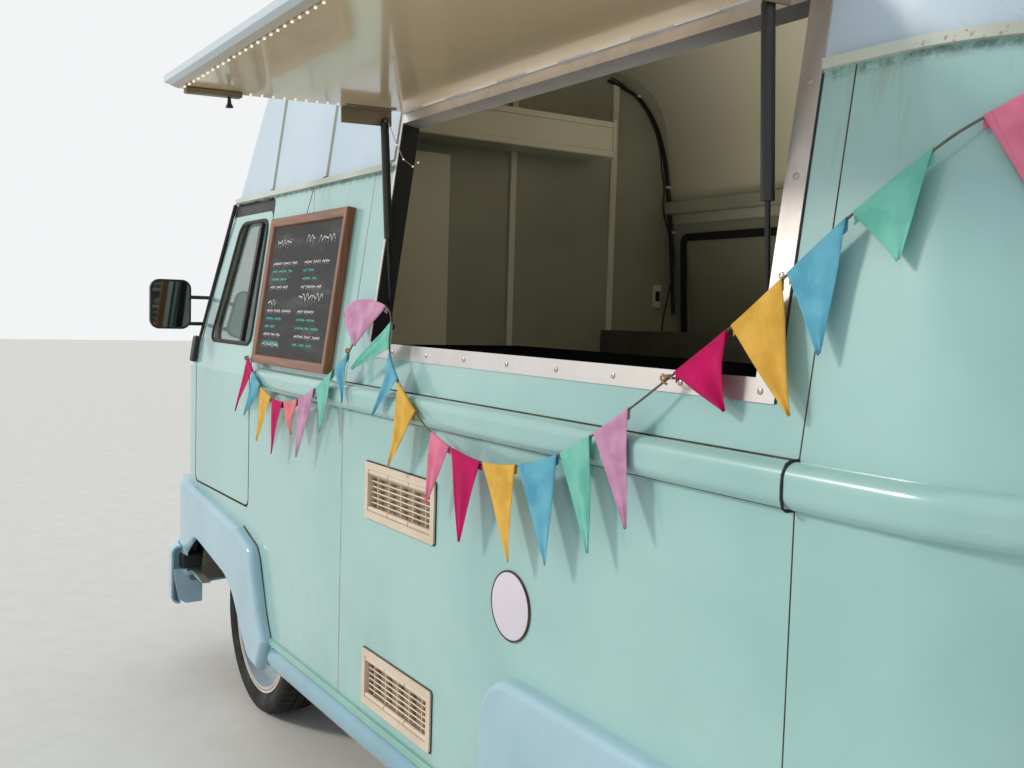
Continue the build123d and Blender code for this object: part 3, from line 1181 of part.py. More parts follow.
# Vents in the left side: bezel, rows of bar segments above and below, slanted slats between
vents = None
hole_long = VENT_LONG - 2 * VENT_BEZEL - 2 * SEAT
hole_high = VENT_HIGH - 2 * VENT_BEZEL - 2 * SEAT
for vent_x, vent_z in VENT_PLACES:
    bezel = Box(VENT_LONG, VENT_PROUD, VENT_HIGH)
    bezel = Pos(0, SEAT + VENT_PROUD / 2, 0) * fillet(bezel.edges().filter_by(Axis.Y), VENT_BEZEL / 2)
    collar = Pos(0, -VENT_DEEP / 2 + SEAT, 0) * Box(hole_long, VENT_DEEP, hole_high)
    vent = bezel + collar
    vent -= Box(hole_long - 2 * VENT_SHEET, FAR, hole_high - 2 * VENT_SHEET)
    segment = (hole_long - 2 * VENT_SHEET) / VENT_BARS
    for row in (-1, 1):
        row_z = row * (hole_high / 2 - VENT_SHEET - VENT_BAR_HIGH / 2)
        for number in range(VENT_BARS):
            start = -hole_long / 2 + VENT_SHEET + number * segment
            bar = rod((start, 0, row_z), (start + segment - VENT_NOTCH, 0, row_z), VENT_BAR_HIGH / 2 + SEAT)
            vent += bar
    slat_space = hole_high - 2 * VENT_SHEET - 2 * VENT_BAR_HIGH
    for number in range(VENT_SLATS):
        slat_z = slat_space * ((number + 0.5) / VENT_SLATS - 0.5)
        slat = Rot(VENT_SLAT_TILT, 0, 0) * Box(hole_long - VENT_SHEET, VENT_SLAT_DEEP, VENT_SLAT_THICK)
        vent += Pos(0, -VENT_DEEP / 2, slat_z) * slat
    vent = Pos(vent_x, HALF_WIDTH, vent_z) * vent
    vents = vent if vents is None else vents + vent
nodes["side_vents"] = vents

# Menu board hung on the side
board = on_side(BOARD_REAR_X, BOARD_FRONT_X, BOARD_BOTTOM_Z, BOARD_TOP_Z, SEAT, BOARD_THICK, BOARD_ROUND)
board -= on_side(
    BOARD_REAR_X + BOARD_FRAME, BOARD_FRONT_X - BOARD_FRAME, BOARD_BOTTOM_Z + BOARD_FRAME,
    BOARD_TOP_Z - BOARD_FRAME, BOARD_THICK - BOARD_RECESS, BOARD_THICK * 2,
)
nodes["menu_board"] = board

# Door mirrors, each head on two arms that stand on the skin
mirrors = None
for hand, head_x in MIRROR_PLACES:
    head = Box(MIRROR_THICK, MIRROR_WIDE, MIRROR_HIGH)
    head = fillet(head.edges().filter_by(Axis.X), MIRROR_ROUND)
    head = fillet(head.faces().sort_by(Axis.X)[-1].edges(), MIRROR_THICK / 3)
    mirror = Pos(head_x, hand * MIRROR_Y, MIRROR_Z) * head
    foot_x, foot_y = MIRROR_ARM_FOOT
    for arm_z in MIRROR_ARMS_Z:
        end_y = hand * (MIRROR_Y - MIRROR_WIDE / 2 + MIRROR_ARM_R)
        mirror += rod((foot_x, hand * foot_y, arm_z), (head_x, end_y, arm_z), MIRROR_ARM_R) - body(-SEAT)
    mirrors = mirror if mirrors is None else mirrors + mirror
nodes["mirrors"] = mirrors

# Bunting: cord hung on pegs, with pennants below its runs
cord, cord_path, cord_radii = tube_along(CORD_POINTS, CORD_R)
nodes["bunting_cord"] = cord
pegs = None
for number, foot in PEG_POINTS:
    _, nearest, _ = cord_path.distance_to_with_closest_points(Vertex(*CORD_POINTS[number]))
    along_cord = cord_path.tangent_at(nearest)
    below = Vector(along_cord.Z, 0, -along_cord.X).normalized()
    if below.Z > 0:
        below = -below
    middle = nearest + below * (CORD_R + SEAT + PEG_R)
    peg = rod((middle.X, middle.Y - PEG_LONG, middle.Z), (middle.X, middle.Y + CORD_R * 2, middle.Z), PEG_R)
    peg = (peg - body(-SEAT - foot)).solids().sort_by(Axis.Y)[-1]
    pegs = peg if pegs is None else pegs + peg
nodes["bunting_pegs"] = pegs
pennants = None
held = Compound([cord, *pegs.solids()])
for first_point, last_point, hang, shift in PENNANTS:
    start = Vector(*CORD_POINTS[first_point])
    end = Vector(*CORD_POINTS[last_point])
    ahead = (end - start).normalized()
    middle = (start + end) * 0.5
    lean_out = side_slope * max(0, min(hang, middle.Z - BELT_Z))
    tip = middle + Vector(shift, lean_out, -hang - PENNANT_DROP)
    toward = middle - tip
    toward = (toward - ahead * toward.dot(ahead)).normalized()
    first = start + ahead * PENNANT_INSET - toward * PENNANT_DROP
    second = end - ahead * PENNANT_INSET - toward * PENNANT_DROP
    face = make_face(Polyline(first, second, tip, close=True))
    normal = (second - first).cross(tip - first).normalized()
    pennant = extrude(Pos(*(normal * (-PENNANT_THICK / 2))) * face, PENNANT_THICK, dir=normal)
    for _ in range(PENNANT_LIFTS):
        pennant = Pos(*(toward * (pennant.distance_to(held) - SEAT))) * pennant
    pennants = pennant if pennants is None else pennants + pennant
nodes["pennants"] = pennants

print("bunting cord", round(cord_path.length), "mm, bends", sorted(round(radius) for radius in cord_radii)[:4])

# Everything moves together so that the origin is the middle of the underside of the whole box
whole = Compound(children=[Compound(item.solids()) for item in nodes.values()]).bounding_box()
origin = Pos(-(whole.min.X + whole.max.X) / 2, -(whole.min.Y + whole.max.Y) / 2, -whole.min.Z)
for name, item in nodes.items():
    export_step(origin * Compound(item.solids()), f"parts/{name}.step")
print("origin", [round(v, 3) for v in origin.position], "size", whole.size, "nodes", len(nodes))
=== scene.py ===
# %% [markdown]
# # A food truck, dressed around its solids
#
# The solids come in first and stay where they are. Everything that this file adds is placed in the same
# frame: X runs forward, Y to the left, Z up, in metres, with the origin on the floor under the middle.
# The part's drawing has its origin under the front axle and works in millimetres, so one function turns
# a place from the drawing into this frame.

# %% Load the solids
import math

import bmesh
import bpy
import numpy as np
from mathutils import Matrix


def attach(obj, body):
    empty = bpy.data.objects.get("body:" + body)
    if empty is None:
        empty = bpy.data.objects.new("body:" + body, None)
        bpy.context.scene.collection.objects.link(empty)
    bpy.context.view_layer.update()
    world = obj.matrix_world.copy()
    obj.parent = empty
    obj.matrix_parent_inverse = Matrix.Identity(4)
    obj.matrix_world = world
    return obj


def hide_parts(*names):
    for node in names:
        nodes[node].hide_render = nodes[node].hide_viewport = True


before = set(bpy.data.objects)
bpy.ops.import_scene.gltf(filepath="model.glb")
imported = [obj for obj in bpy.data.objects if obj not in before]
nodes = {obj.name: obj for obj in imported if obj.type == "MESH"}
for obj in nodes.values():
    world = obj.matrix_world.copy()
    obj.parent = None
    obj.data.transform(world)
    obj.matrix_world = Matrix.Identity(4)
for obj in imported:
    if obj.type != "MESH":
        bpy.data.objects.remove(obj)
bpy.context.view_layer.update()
AXLE_TO_ORIGIN = np.array((1160.0, -165.52, 0.0))


def place(points):
    """From the drawing's millimetres to metres in this frame: add the shift, divide by 1000."""
    return (np.asarray(points, float) + AXLE_TO_ORIGIN) / 1000


# %% [markdown]
# ## The camera
#
# The picture was taken standing beside the rear corner, a little above the belt line, with the camera
# turned slightly down and tilted. Its place and its three angles were worked out from the van's straight
# edges. A camera looks along its own minus Z, so its matrix holds right, up and backward as columns.

# %% Camera
YAW, PITCH, ROLL = np.radians((32.567, -3.843, -1.673))
PICTURE_WIDE = 1024
FOCAL_PIXELS = 1049.25
forward = np.array((math.cos(PITCH) * math.cos(YAW), -math.cos(PITCH) * math.sin(YAW), math.sin(PITCH)))
level = np.cross(forward, (0, 0, 1))
level /= np.linalg.norm(level)
below = np.cross(forward, level)
right = math.cos(ROLL) * level + math.sin(ROLL) * below
down = math.cos(ROLL) * below - math.sin(ROLL) * level
camera = bpy.data.objects.new("camera", bpy.data.cameras.new("camera"))
bpy.context.scene.collection.objects.link(camera)
turn = Matrix(np.column_stack((right, -down, -forward)).tolist()).to_4x4()
camera.matrix_world = Matrix.Translation(place((-3649, 2055.5, 1474))) @ turn
camera.data.lens = camera.data.sensor_width * FOCAL_PIXELS / PICTURE_WIDE
camera.data.clip_start = 0.05
bpy.context.scene.camera = camera
print("lens", round(camera.data.lens, 2), "mm")

# %% [markdown]
# ## One helper for nodes, one for colours
#
# A hex colour is what a screen shows. A shader works with light, so each hex colour goes through the sRGB
# curve once. Every material below is built from nodes with the same small function: it makes a node,
# sets what it is told, and links any socket that it is given.

# %% Helpers for materials


def linear(hex_colour):
    """sRGB hex to linear light: below 0.04045 divide by 12.92, above it raise (c + 0.055) / 1.055 to 2.4."""
    c = np.array([int(hex_colour[i:i + 2], 16) for i in (1, 3, 5)]) / 255
    return (*np.where(c <= 0.04045, c / 12.92, ((c + 0.055) / 1.055) ** 2.4), 1.0)


def add(tree, kind, inputs, out=0, **settings):
    """Adds a node, gives it its settings, fills or links its inputs, and returns one of its outputs."""
    node = tree.nodes.new("ShaderNode" + kind)
    for name, value in settings.items():
        setattr(node, name, value)
    for name, value in inputs.items():
        if isinstance(value, bpy.types.NodeSocket):
            tree.links.new(value, node.inputs[name])
        else:
            node.inputs[name].default_value = linear(value) if isinstance(value, str) else value
    return node.outputs[out]


def material(name, **values):
    """A material with one Principled shader. Returns it with its tree, shader and Object coordinates."""
    made = bpy.data.materials.new(name)
    made.use_nodes = True
    tree = made.node_tree
    shader = tree.nodes["Principled BSDF"]
    for key, value in values.items():
        socket = shader.inputs[key.replace("_", " ").title().replace("Ior", "IOR")]
        socket.default_value = linear(value) if isinstance(value, str) else value
    return made, tree, shader, add(tree, "TexCoord", {}, out="Object")


SMOOTH = {"interpolation_type": "SMOOTHSTEP"}
COLOURS = {"data_type": "RGBA"}
print("node helper ready")

# %% [markdown]
# ## Paint
#
# The van is steel, sprayed with two-pack enamel and polished by hand over old panels. That gives a hard,
# wet gloss with three scales of unevenness: dents and waves a hand's width across that bend reflections,
# the orange peel of the spray gun at a few millimetres, and road dust and rust that gather low down,
# under the gutter and along the edges. The orange peel is drawn at 5 mm, coarser than life, so it shows.

# %% Enamel
CABIN_MIDDLE = (0, -0.166, 1.25)


def enamel(name, colour, shade, dust, rust=0.0, streaks=0.0, gloss=0.22, lining=None, coat=0.6):
    """Sprayed enamel: two near shades in clouds, under road film, streaks and rust specks.

    dust is how much film it carries low down, streaks how much runs down and grows under the gutter, rust
    how much of it is speckled, gloss its roughness, and lining the colour of the faces that look inwards,
    where normal . (place - cabin's middle) is below zero.
    """
    made, tree, shader, where = material(
        name, roughness=gloss, ior=1.5, coat_weight=coat, coat_roughness=gloss * 0.35, coat_ior=1.5)
    height = add(tree, "SeparateXYZ", {0: where}, out=2)
    cloud = add(tree, "TexNoise", {"Vector": where, "Scale": 2.4, "Detail": 3})
    cloud = add(tree, "MapRange", {0: cloud, 1: 0.35, 2: 0.7}, **SMOOTH)
    base = add(tree, "Mix", {0: cloud, 6: colour, 7: shade}, out=2, **COLOURS)
    film = add(tree, "TexNoise", {"Vector": where, "Scale": 11, "Detail": 6, "Roughness": 0.7})
    film = add(tree, "MapRange", {0: film, 1: 0.4, 2: 0.75}, **SMOOTH)
    low = add(tree, "MapRange", {0: height, 1: 0.15, 2: 1.0, 3: dust, 4: dust * 0.12}, **SMOOTH)
    film = add(tree, "Math", {0: film, 1: low}, operation="MULTIPLY")
    base = add(tree, "Mix", {0: film, 6: base, 7: "#9A917C"}, out=2, **COLOURS)
    if streaks:
        drawn = add(tree, "Mapping", {"Vector": where, "Scale": (1, 1, 0.05)})
        runs = add(tree, "TexNoise", {"Vector": drawn, "Scale": 38, "Detail": 4, "Roughness": 0.6})
        runs = add(tree, "MapRange", {0: runs, 1: 0.56, 2: 0.72}, **SMOOTH)
        under = add(tree, "MapRange", {0: height, 1: 1.5, 2: 1.84, 3: 0, 4: streaks}, **SMOOTH)
        runs = add(tree, "Math", {0: runs, 1: under}, operation="MULTIPLY")
        base = add(tree, "Mix", {0: runs, 6: base, 7: "#8B8668"}, out=2, **COLOURS)
        moss = add(tree, "TexNoise", {"Vector": where, "Scale": 24, "Detail": 6, "Roughness": 0.75})
        moss = add(tree, "MapRange", {0: moss, 1: 0.4, 2: 0.62}, **SMOOTH)
        gutter_foot = add(tree, "MapRange", {0: height, 1: 1.822, 2: 1.842, 3: 0, 4: 0.7}, **SMOOTH)
        moss = add(tree, "Math", {0: moss, 1: gutter_foot}, operation="MULTIPLY")
        base = add(tree, "Mix", {0: moss, 6: base, 7: "#38382A"}, out=2, **COLOURS)
    if rust:
        patch = add(tree, "TexNoise", {"Vector": where, "Scale": 7.7, "Detail": 4, "Roughness": 0.65})
        patch = add(tree, "MapRange", {0: patch, 1: 0.52, 2: 0.68, 3: 0, 4: rust}, **SMOOTH)
        speck = add(tree, "TexNoise", {"Vector": where, "Scale": 110, "Detail": 4, "Roughness": 0.7})
        speck = add(tree, "MapRange", {0: speck, 1: 0.56, 2: 0.66}, **SMOOTH)
        eaten = add(tree, "Math", {0: patch, 1: speck}, operation="MULTIPLY")
        base = add(tree, "Mix", {0: eaten, 6: base, 7: "#6A4226"}, out=2, **COLOURS)
        rough = add(tree, "MapRange", {0: eaten, 3: gloss, 4: 0.75})
        tree.links.new(rough, shader.inputs["Roughness"])
    if lining:
        looks = add(tree, "TexCoord", {}, out="Normal")
        from_middle = add(tree, "VectorMath", {0: where, 1: CABIN_MIDDLE}, operation="SUBTRACT")
        outward = add(tree, "VectorMath", {0: looks, 1: from_middle}, out="Value", operation="DOT_PRODUCT")
        outward = add(tree, "MapRange", {0: outward, 1: -0.03, 2: 0.0})
        base = add(tree, "Mix", {0: outward, 6: lining, 7: base}, out=2, **COLOURS)
    tree.links.new(base, shader.inputs["Base Color"])
    waves = add(tree, "TexNoise", {"Vector": where, "Scale": 3.8, "Detail": 1})
    waves = add(tree, "Bump", {"Height": waves, "Strength": 0.35, "Distance": 0.003})
    peel = add(tree, "TexNoise", {"Vector": where, "Scale": 200, "Detail": 1})
    peel = add(tree, "Bump", {"Height": peel, "Strength": 0.06, "Distance": 0.0004, "Normal": waves})
    tree.links.new(peel, shader.inputs["Normal"])
    return made


mint = enamel("two_pack_enamel_mint", "#A4CECB", "#96C3C1", 0.25, streaks=0.22, lining="#989884")
mint_inner = enamel("enamel_mint_doors", "#A4CECB", "#99C5C3", 0.25, streaks=0.1, lining="#989884")
# The roof's paint has weathered dull, so it has hardly any gloss left.
roof_white = enamel("two_pack_enamel_roof_white", "#C3D6E3", "#B9CDDC", 0.05, rust=0.12, gloss=0.6,
                    lining="#CEC8B2", coat=0.05)
# The arches and sill tubes are white paint that still shines, speckled with rust from stone chips. Their
# blue-grey tint is painted shade, and the sill tubes, set lower, are darker still with more painted shade.
arch_white_painted_shade = enamel("enamel_white_arches_painted_shade", "#A6CBDC", "#98BFD1", 0.22, rust=0.22, gloss=0.16)
sill_white_painted_shade = enamel("enamel_white_sills_painted_shade", "#88B6C8", "#7AABBF", 0.3, rust=0.3, gloss=0.16)
gutter_white = enamel("enamel_gutter_rusted", "#C9D2C6", "#A9B09A", 0.2, rust=1.0, gloss=0.4)
# Inside, eggshell paint on plywood panels gives a soft sheen.
cabin_cream = enamel("eggshell_cream_panels", "#A4A492", "#979784", 0.1, gloss=0.42)
shelf_cream = enamel("eggshell_cream_shelf", "#E6E2D0", "#DBD5C1", 0.1, gloss=0.42)
print("paints", len(bpy.data.materials))

# %% [markdown]
# ## Metals, plastics, rubber and glass
#
# Each starts from typical values for its material. One function makes them: two near colours in patches of
# about 120 mm, and a grain whose size is given in millimetres. The real grain of most of them is well under
# a millimetre and wouldn't show from here, so it is drawn at 1.5 mm or more, coarser than life.

# %% Other finishes


def grained(name, colour, shade, grain_mm, roughness, metallic=0.0, depth_mm=0.15, stretch=(1, 1, 1), **more):
    """Two near colours in soft patches, duller in one than in the other, under a grain of bump.

    stretch below 1 along an axis draws the grain out into lines along that axis.
    """
    made, tree, shader, where = material(name, roughness=roughness, metallic=metallic, **more)
    patch = add(tree, "TexNoise", {"Vector": where, "Scale": 8, "Detail": 4, "Roughness": 0.6})
    patch = add(tree, "MapRange", {0: patch, 1: 0.35, 2: 0.7}, **SMOOTH)
    base = add(tree, "Mix", {0: patch, 6: colour, 7: shade}, out=2, **COLOURS)
    tree.links.new(base, shader.inputs["Base Color"])
    rough = add(tree, "MapRange", {0: patch, 3: roughness * 0.85, 4: min(roughness * 1.2, 1)})
    tree.links.new(rough, shader.inputs["Roughness"])
    drawn = add(tree, "Mapping", {"Vector": where, "Scale": stretch})
    grain = add(tree, "TexNoise", {"Vector": drawn, "Scale": 1000 / grain_mm, "Detail": 2})
    grain = add(tree, "Bump", {"Height": grain, "Strength": 0.4, "Distance": depth_mm / 1000})
    tree.links.new(grain, shader.inputs["Normal"])
    return made


# Bare and plated metal. Rolling leaves fine lines along the strips, which spread their shine across them.
# Chrome plate and silvered glass are almost smooth, so they show the surroundings. Screws are dull zinc.
aluminium = grained("rolled_aluminium", "#D6D3D2", "#C4BFBC", 3, 0.34, 0.75, stretch=(0.04, 1, 1))
chrome = grained("chrome_plate", "#D8DADC", "#CFD1D4", 40, 0.08, 1.0, 0.02)
mirror_glass = grained("mirror_silvered_glass", "#878D86", "#7B817A", 40, 0.04, 1.0, 0.01)
rod_dark = grained("nitrided_rod_steel", "#2B2C2E", "#37383A", 2, 0.25, 0.8, stretch=(1, 1, 0.05))
zinc_screw = grained("zinc_plated_screws", "#C9C5C0", "#ABA69F", 2, 0.3, 0.7)

# Painted and rusty iron. Satin enamel keeps a clear highlight, while dust hides it on the frame below.
satin_black = grained("satin_black_enamel", "#151618", "#1F2123", 5, 0.3)
latch_bronze = grained("latch_painted_bronze", "#8A7B64", "#786A55", 4, 0.4, 0.2)
chassis_iron = grained("chassis_black_dusty", "#232322", "#4A443B", 8, 0.75, depth_mm=0.5)
engine_iron = grained("cast_iron_engine", "#3F4244", "#2D2C2A", 6, 0.65, 0.4, 0.6)
exhaust_steel = grained("rusted_exhaust_steel", "#5B4A3E", "#3A312B", 6, 0.8, 0.4, 0.5)
seam_rust = grained("seam_dirt_and_rust", "#5E4A34", "#2F2A22", 12, 0.85, depth_mm=0.6)
rust_mint = enamel("enamel_mint_flange_rusted", "#8FC9BC", "#7DB9AC", 0.4, rust=0.9, gloss=0.35)

# Moulded plastic has an even grain from its mould and a soft shine. Lamp lenses are clear on top.
vent_plastic = grained("abs_beige_moulded", "#E0D0BC", "#D5C3AD", 2.5, 0.42, depth_mm=0.1)
# The vents' backs take a darker copy of the same beige plastic: painted shade behind the louvres.
vent_painted_shade = grained("abs_beige_painted_shade", "#B7A692", "#A99885", 2.5, 0.6)
white_plastic = grained("nylon_white_clips", "#DCDAD4", "#CFCCC4", 2.5, 0.45)
black_plastic = grained("abs_black_moulded", "#202122", "#2A2B2C", 2.5, 0.5)
mirror_black = grained("black_mirror_housing", "#1B1C1E", "#242527", 3, 0.4)
cable_black = grained("pvc_black_cable", "#161617", "#222224", 3, 0.45)
lamp_red = grained("acrylic_lamp_red", "#9E1B1E", "#86171A", 4, 0.16, depth_mm=0.2, coat_weight=0.8)
lamp_warm = grained("led_lens_lit", "#F6F0E0", "#EFE8D4", 2, 0.3,
                    emission_color="#FFF1D2", emission_strength=0.7)

# Rubber and sealant take the light with almost no shine, so only their form shows.
black_rubber = grained("epdm_black_seal", "#17181A", "#232426", 3, 0.68)
edge_black = grained("edge_rubber_black", "#1A1B1D", "#242527", 5, 0.6)
tyre_rubber = grained("tyre_rubber", "#121214", "#1C1C1C", 4, 0.8, depth_mm=0.4)
sealant = grained("pale_seam_sealant", "#C8CDC4", "#A9B0A4", 4, 0.6, depth_mm=0.3)

# Sheet and leathercloth inside. The counter is black laminate, drawn darker still as painted shade, so dark
# that a highlight would turn it grey, so it has none.
laminate_black = grained("laminate_black_counter_painted_shade", "#08090C", "#0D0E11", 6, 0.6, specular_ior_level=0.0)
laminate_grey = grained("laminate_grey_unit", "#57544F", "#4C4944", 6, 0.5)
floor_lino = grained("lino_floor_grey", "#6E6C67", "#605D58", 5, 0.6)
vinyl_black = grained("vinyl_black_seat", "#26272A", "#2F3033", 2.2, 0.52, depth_mm=0.3)

# Twisted fibres and dry chalk are rough at every scale.
string_grey = grained("cotton_string_grey", "#6E675C", "#575147", 1.5, 0.9, depth_mm=0.5, stretch=(1, 1, 3))
jute = grained("jute_string", "#B59B6E", "#9C8258", 1.5, 0.9, depth_mm=0.6, stretch=(1, 1, 3))
chalk_white = grained("chalk_white", "#F0F0EC", "#DADAD6", 1.5, 0.95, depth_mm=0.3)
chalk_teal = grained("chalk_teal", "#5FD0C6", "#52BDB4", 1.5, 0.95, depth_mm=0.3)

# Tinted glass lets light through and shows a sharp reflection.
glass = material("tinted_cab_glass", roughness=0.02, ior=1.45, transmission_weight=1.0,
                 base_color="#B9C6C1")[0]
print("finishes", len(bpy.data.materials))

# %% [markdown]
# The flap is cream gloss on the side that faces the counter and mint outside, so its colour follows the
# way that a face looks. A wheel's colour follows the distance from its axle: cream lip with a rusty line,
# grey-blue bowl, white hub.

# %% Flap and wheels
TYRE_RADIUS = 336.0
REAR_AXLE_X = -2270


def flap_paint():
    """Cream where the face looks down, mint where it looks up, blue-white on the edges and taupe brackets.

    A bracket is the box |x - centre| < 19 mm, |y - centre| < 72 mm; the taupe band is 575 to 597 mm out.
    """
    made, tree, shader, where = material("gloss_flap_cream_and_mint", roughness=0.16, coat_weight=0.4)
    looks = add(tree, "TexCoord", {}, out="Normal")
    up = add(tree, "SeparateXYZ", {0: looks}, out=2)
    edge = add(tree, "MapRange", {0: up, 1: -0.9, 2: -0.8})
    top = add(tree, "MapRange", {0: up, 1: 0.8, 2: 0.9})
    wear = add(tree, "TexNoise", {"Vector": where, "Scale": 6, "Detail": 4})
    cream = add(tree, "Mix", {0: wear, 6: "#F3DAB5", 7: "#E9CDA6"}, out=2, **COLOURS)
    x, y = (add(tree, "SeparateXYZ", {0: where}, out=axis) for axis in (0, 1))
    band = add(tree, "MapRange", {0: y, 1: 1.222, 2: 1.2235})
    cream = add(tree, "Mix", {0: band, 6: cream, 7: "#A3937C"}, out=2, **COLOURS)
    lip = add(tree, "MapRange", {0: y, 1: 1.244, 2: 1.2455})
    cream = add(tree, "Mix", {0: lip, 6: cream, 7: "#C3D3DD"}, out=2, **COLOURS)
    base = add(tree, "Mix", {0: edge, 6: cream, 7: "#C3D3DD"}, out=2, **COLOURS)
    from_front = add(tree, "Math", {0: x, 1: 0.005, 2: 0.019}, operation="COMPARE")
    from_rear = add(tree, "Math", {0: x, 1: -1.330, 2: 0.019}, operation="COMPARE")
    along = add(tree, "Math", {0: y, 1: 0.754, 2: 0.072}, operation="COMPARE")
    bracket = add(tree, "Math", {0: from_front, 1: from_rear}, operation="MAXIMUM")
    bracket = add(tree, "Math", {0: bracket, 1: along}, operation="MULTIPLY")
    base = add(tree, "Mix", {0: bracket, 6: base, 7: "#8C7C66"}, out=2, **COLOURS)
    base = add(tree, "Mix", {0: top, 6: base, 7: "#9FD0C6"}, out=2, **COLOURS)
    tree.links.new(base, shader.inputs["Base Color"])
    waves = add(tree, "TexNoise", {"Vector": where, "Scale": 3, "Detail": 1})
    waves = add(tree, "Bump", {"Height": waves, "Strength": 0.3, "Distance": 0.003})
    tree.links.new(waves, shader.inputs["Normal"])
    return made


def wheel_paint(name, axle_x):
    """Rings by distance from the axle line: hub under 100 mm, bowl to 246, then the cream lip with rust."""
    made, tree, shader, where = material(name, roughness=0.4, coat_weight=0.2)
    axle = tuple(place((axle_x, 0, TYRE_RADIUS)))
    across = add(tree, "VectorMath", {0: where, 1: axle}, operation="SUBTRACT")
    across = add(tree, "VectorMath", {0: across, 1: (1, 0, 1)}, operation="MULTIPLY")
    radius = add(tree, "VectorMath", {0: across}, out="Value", operation="LENGTH")
    dirt = add(tree, "TexNoise", {"Vector": where, "Scale": 16, "Detail": 5, "Roughness": 0.65})
    dirt = add(tree, "MapRange", {0: dirt, 1: 0.45, 2: 0.75, 3: 0, 4: 0.6}, **SMOOTH)
    lip = add(tree, "MapRange", {0: radius, 1: 0.243, 2: 0.247})
    hub = add(tree, "MapRange", {0: radius, 1: 0.096, 2: 0.1})
    base = add(tree, "Mix", {0: hub, 6: "#D6D5D0", 7: "#A9B8C4"}, out=2, **COLOURS)
    base = add(tree, "Mix", {0: lip, 6: base, 7: "#D9D3C7"}, out=2, **COLOURS)
    base = add(tree, "Mix", {0: dirt, 6: base, 7: "#8F8676"}, out=2, **COLOURS)
    ring = add(tree, "Math", {0: radius, 1: 0.2525}, operation="SUBTRACT")
    ring = add(tree, "Math", {0: ring}, operation="ABSOLUTE")
    ring = add(tree, "MapRange", {0: ring, 1: 0.001, 2: 0.004, 3: 0.8, 4: 0}, **SMOOTH)
    base = add(tree, "Mix", {0: ring, 6: base, 7: "#7A4A2C"}, out=2, **COLOURS)
    tree.links.new(base, shader.inputs["Base Color"])
    grain = add(tree, "TexNoise", {"Vector": where, "Scale": 150, "Detail": 2})
    grain = add(tree, "Bump", {"Height": grain, "Strength": 0.3, "Distance": 0.0004})
    tree.links.new(grain, shader.inputs["Normal"])
    return made


flap_cream = flap_paint()
front_wheel = wheel_paint("steel_wheel_enamel_front", 0)
rear_wheel = wheel_paint("steel_wheel_enamel_rear", REAR_AXLE_X)

FINISHES = {
    mint: ("cab_shell", "side_panel_left", "side_panel_right", "rear_frame", "belt_moulding"),
    mint_inner: ("driver_door", "passenger_door", "side_door", "tailgate", "lower_door_left",
                 "lower_door_right"),
    roof_white: ("high_roof",),
    gutter_white: ("gutter_rail",),
    # The arches and bumpers take the white paint with its painted shade.
    arch_white_painted_shade: ("wheel_arches", "bumpers"),
    sill_white_painted_shade: ("sill_tubes",),
    aluminium: ("hatch_frame",),
    flap_cream: ("serving_flap",),
    satin_black: ("strut_cylinders",),
    rod_dark: ("strut_rods",),
    cabin_cream: ("bulkhead", "counter_base"),
    shelf_cream: ("shelf", "cupboard"),
    # The counter top's near-black is partly painted shade.
    laminate_black: ("counter_top",),
    laminate_grey: ("kitchen_unit",),
    cable_black: ("cable_run",),
    glass: ("cab_glass", "passenger_glass", "tailgate_glass"),
    floor_lino: ("floor_pan",),
    chassis_iron: ("chassis_frame", "rear_axle", "knuckle_left", "knuckle_right", "fuel_tank"),
    engine_iron: ("engine_block",),
    exhaust_steel: ("exhaust",),
    front_wheel: ("wheel_front_left", "wheel_front_right"),
    rear_wheel: ("wheel_rear_left", "wheel_rear_right"),
    tyre_rubber: ("tyre_front_left", "tyre_front_right", "tyre_rear_left", "tyre_rear_right"),
    lamp_red: ("rear_lamps",),
    chrome: ("headlamps", "bunting_pegs"),
    black_plastic: ("front_grille", "dashboard"),
    mirror_black: ("mirrors",),
    vent_plastic: ("side_vents",),
    vinyl_black: ("cab_seats",),
    string_grey: ("bunting_cord", "pennants"),
    edge_black: ("menu_board",),
}
for finish, names in FINISHES.items():
    for name in names:
        for slot in nodes[name].material_slots:
            slot.material = finish
print("painted", sum(len(names) for names in FINISHES.values()), "of", len(nodes))

# %% [markdown]
# ## Surfaces from grids
#
# Every new piece is a grid of points that a formula gives, joined to quads. Millimetres go in, and the
# drawing's own places are used. A grid may hold several copies of one shape, which saves a loop.

# %% Helpers for surfaces


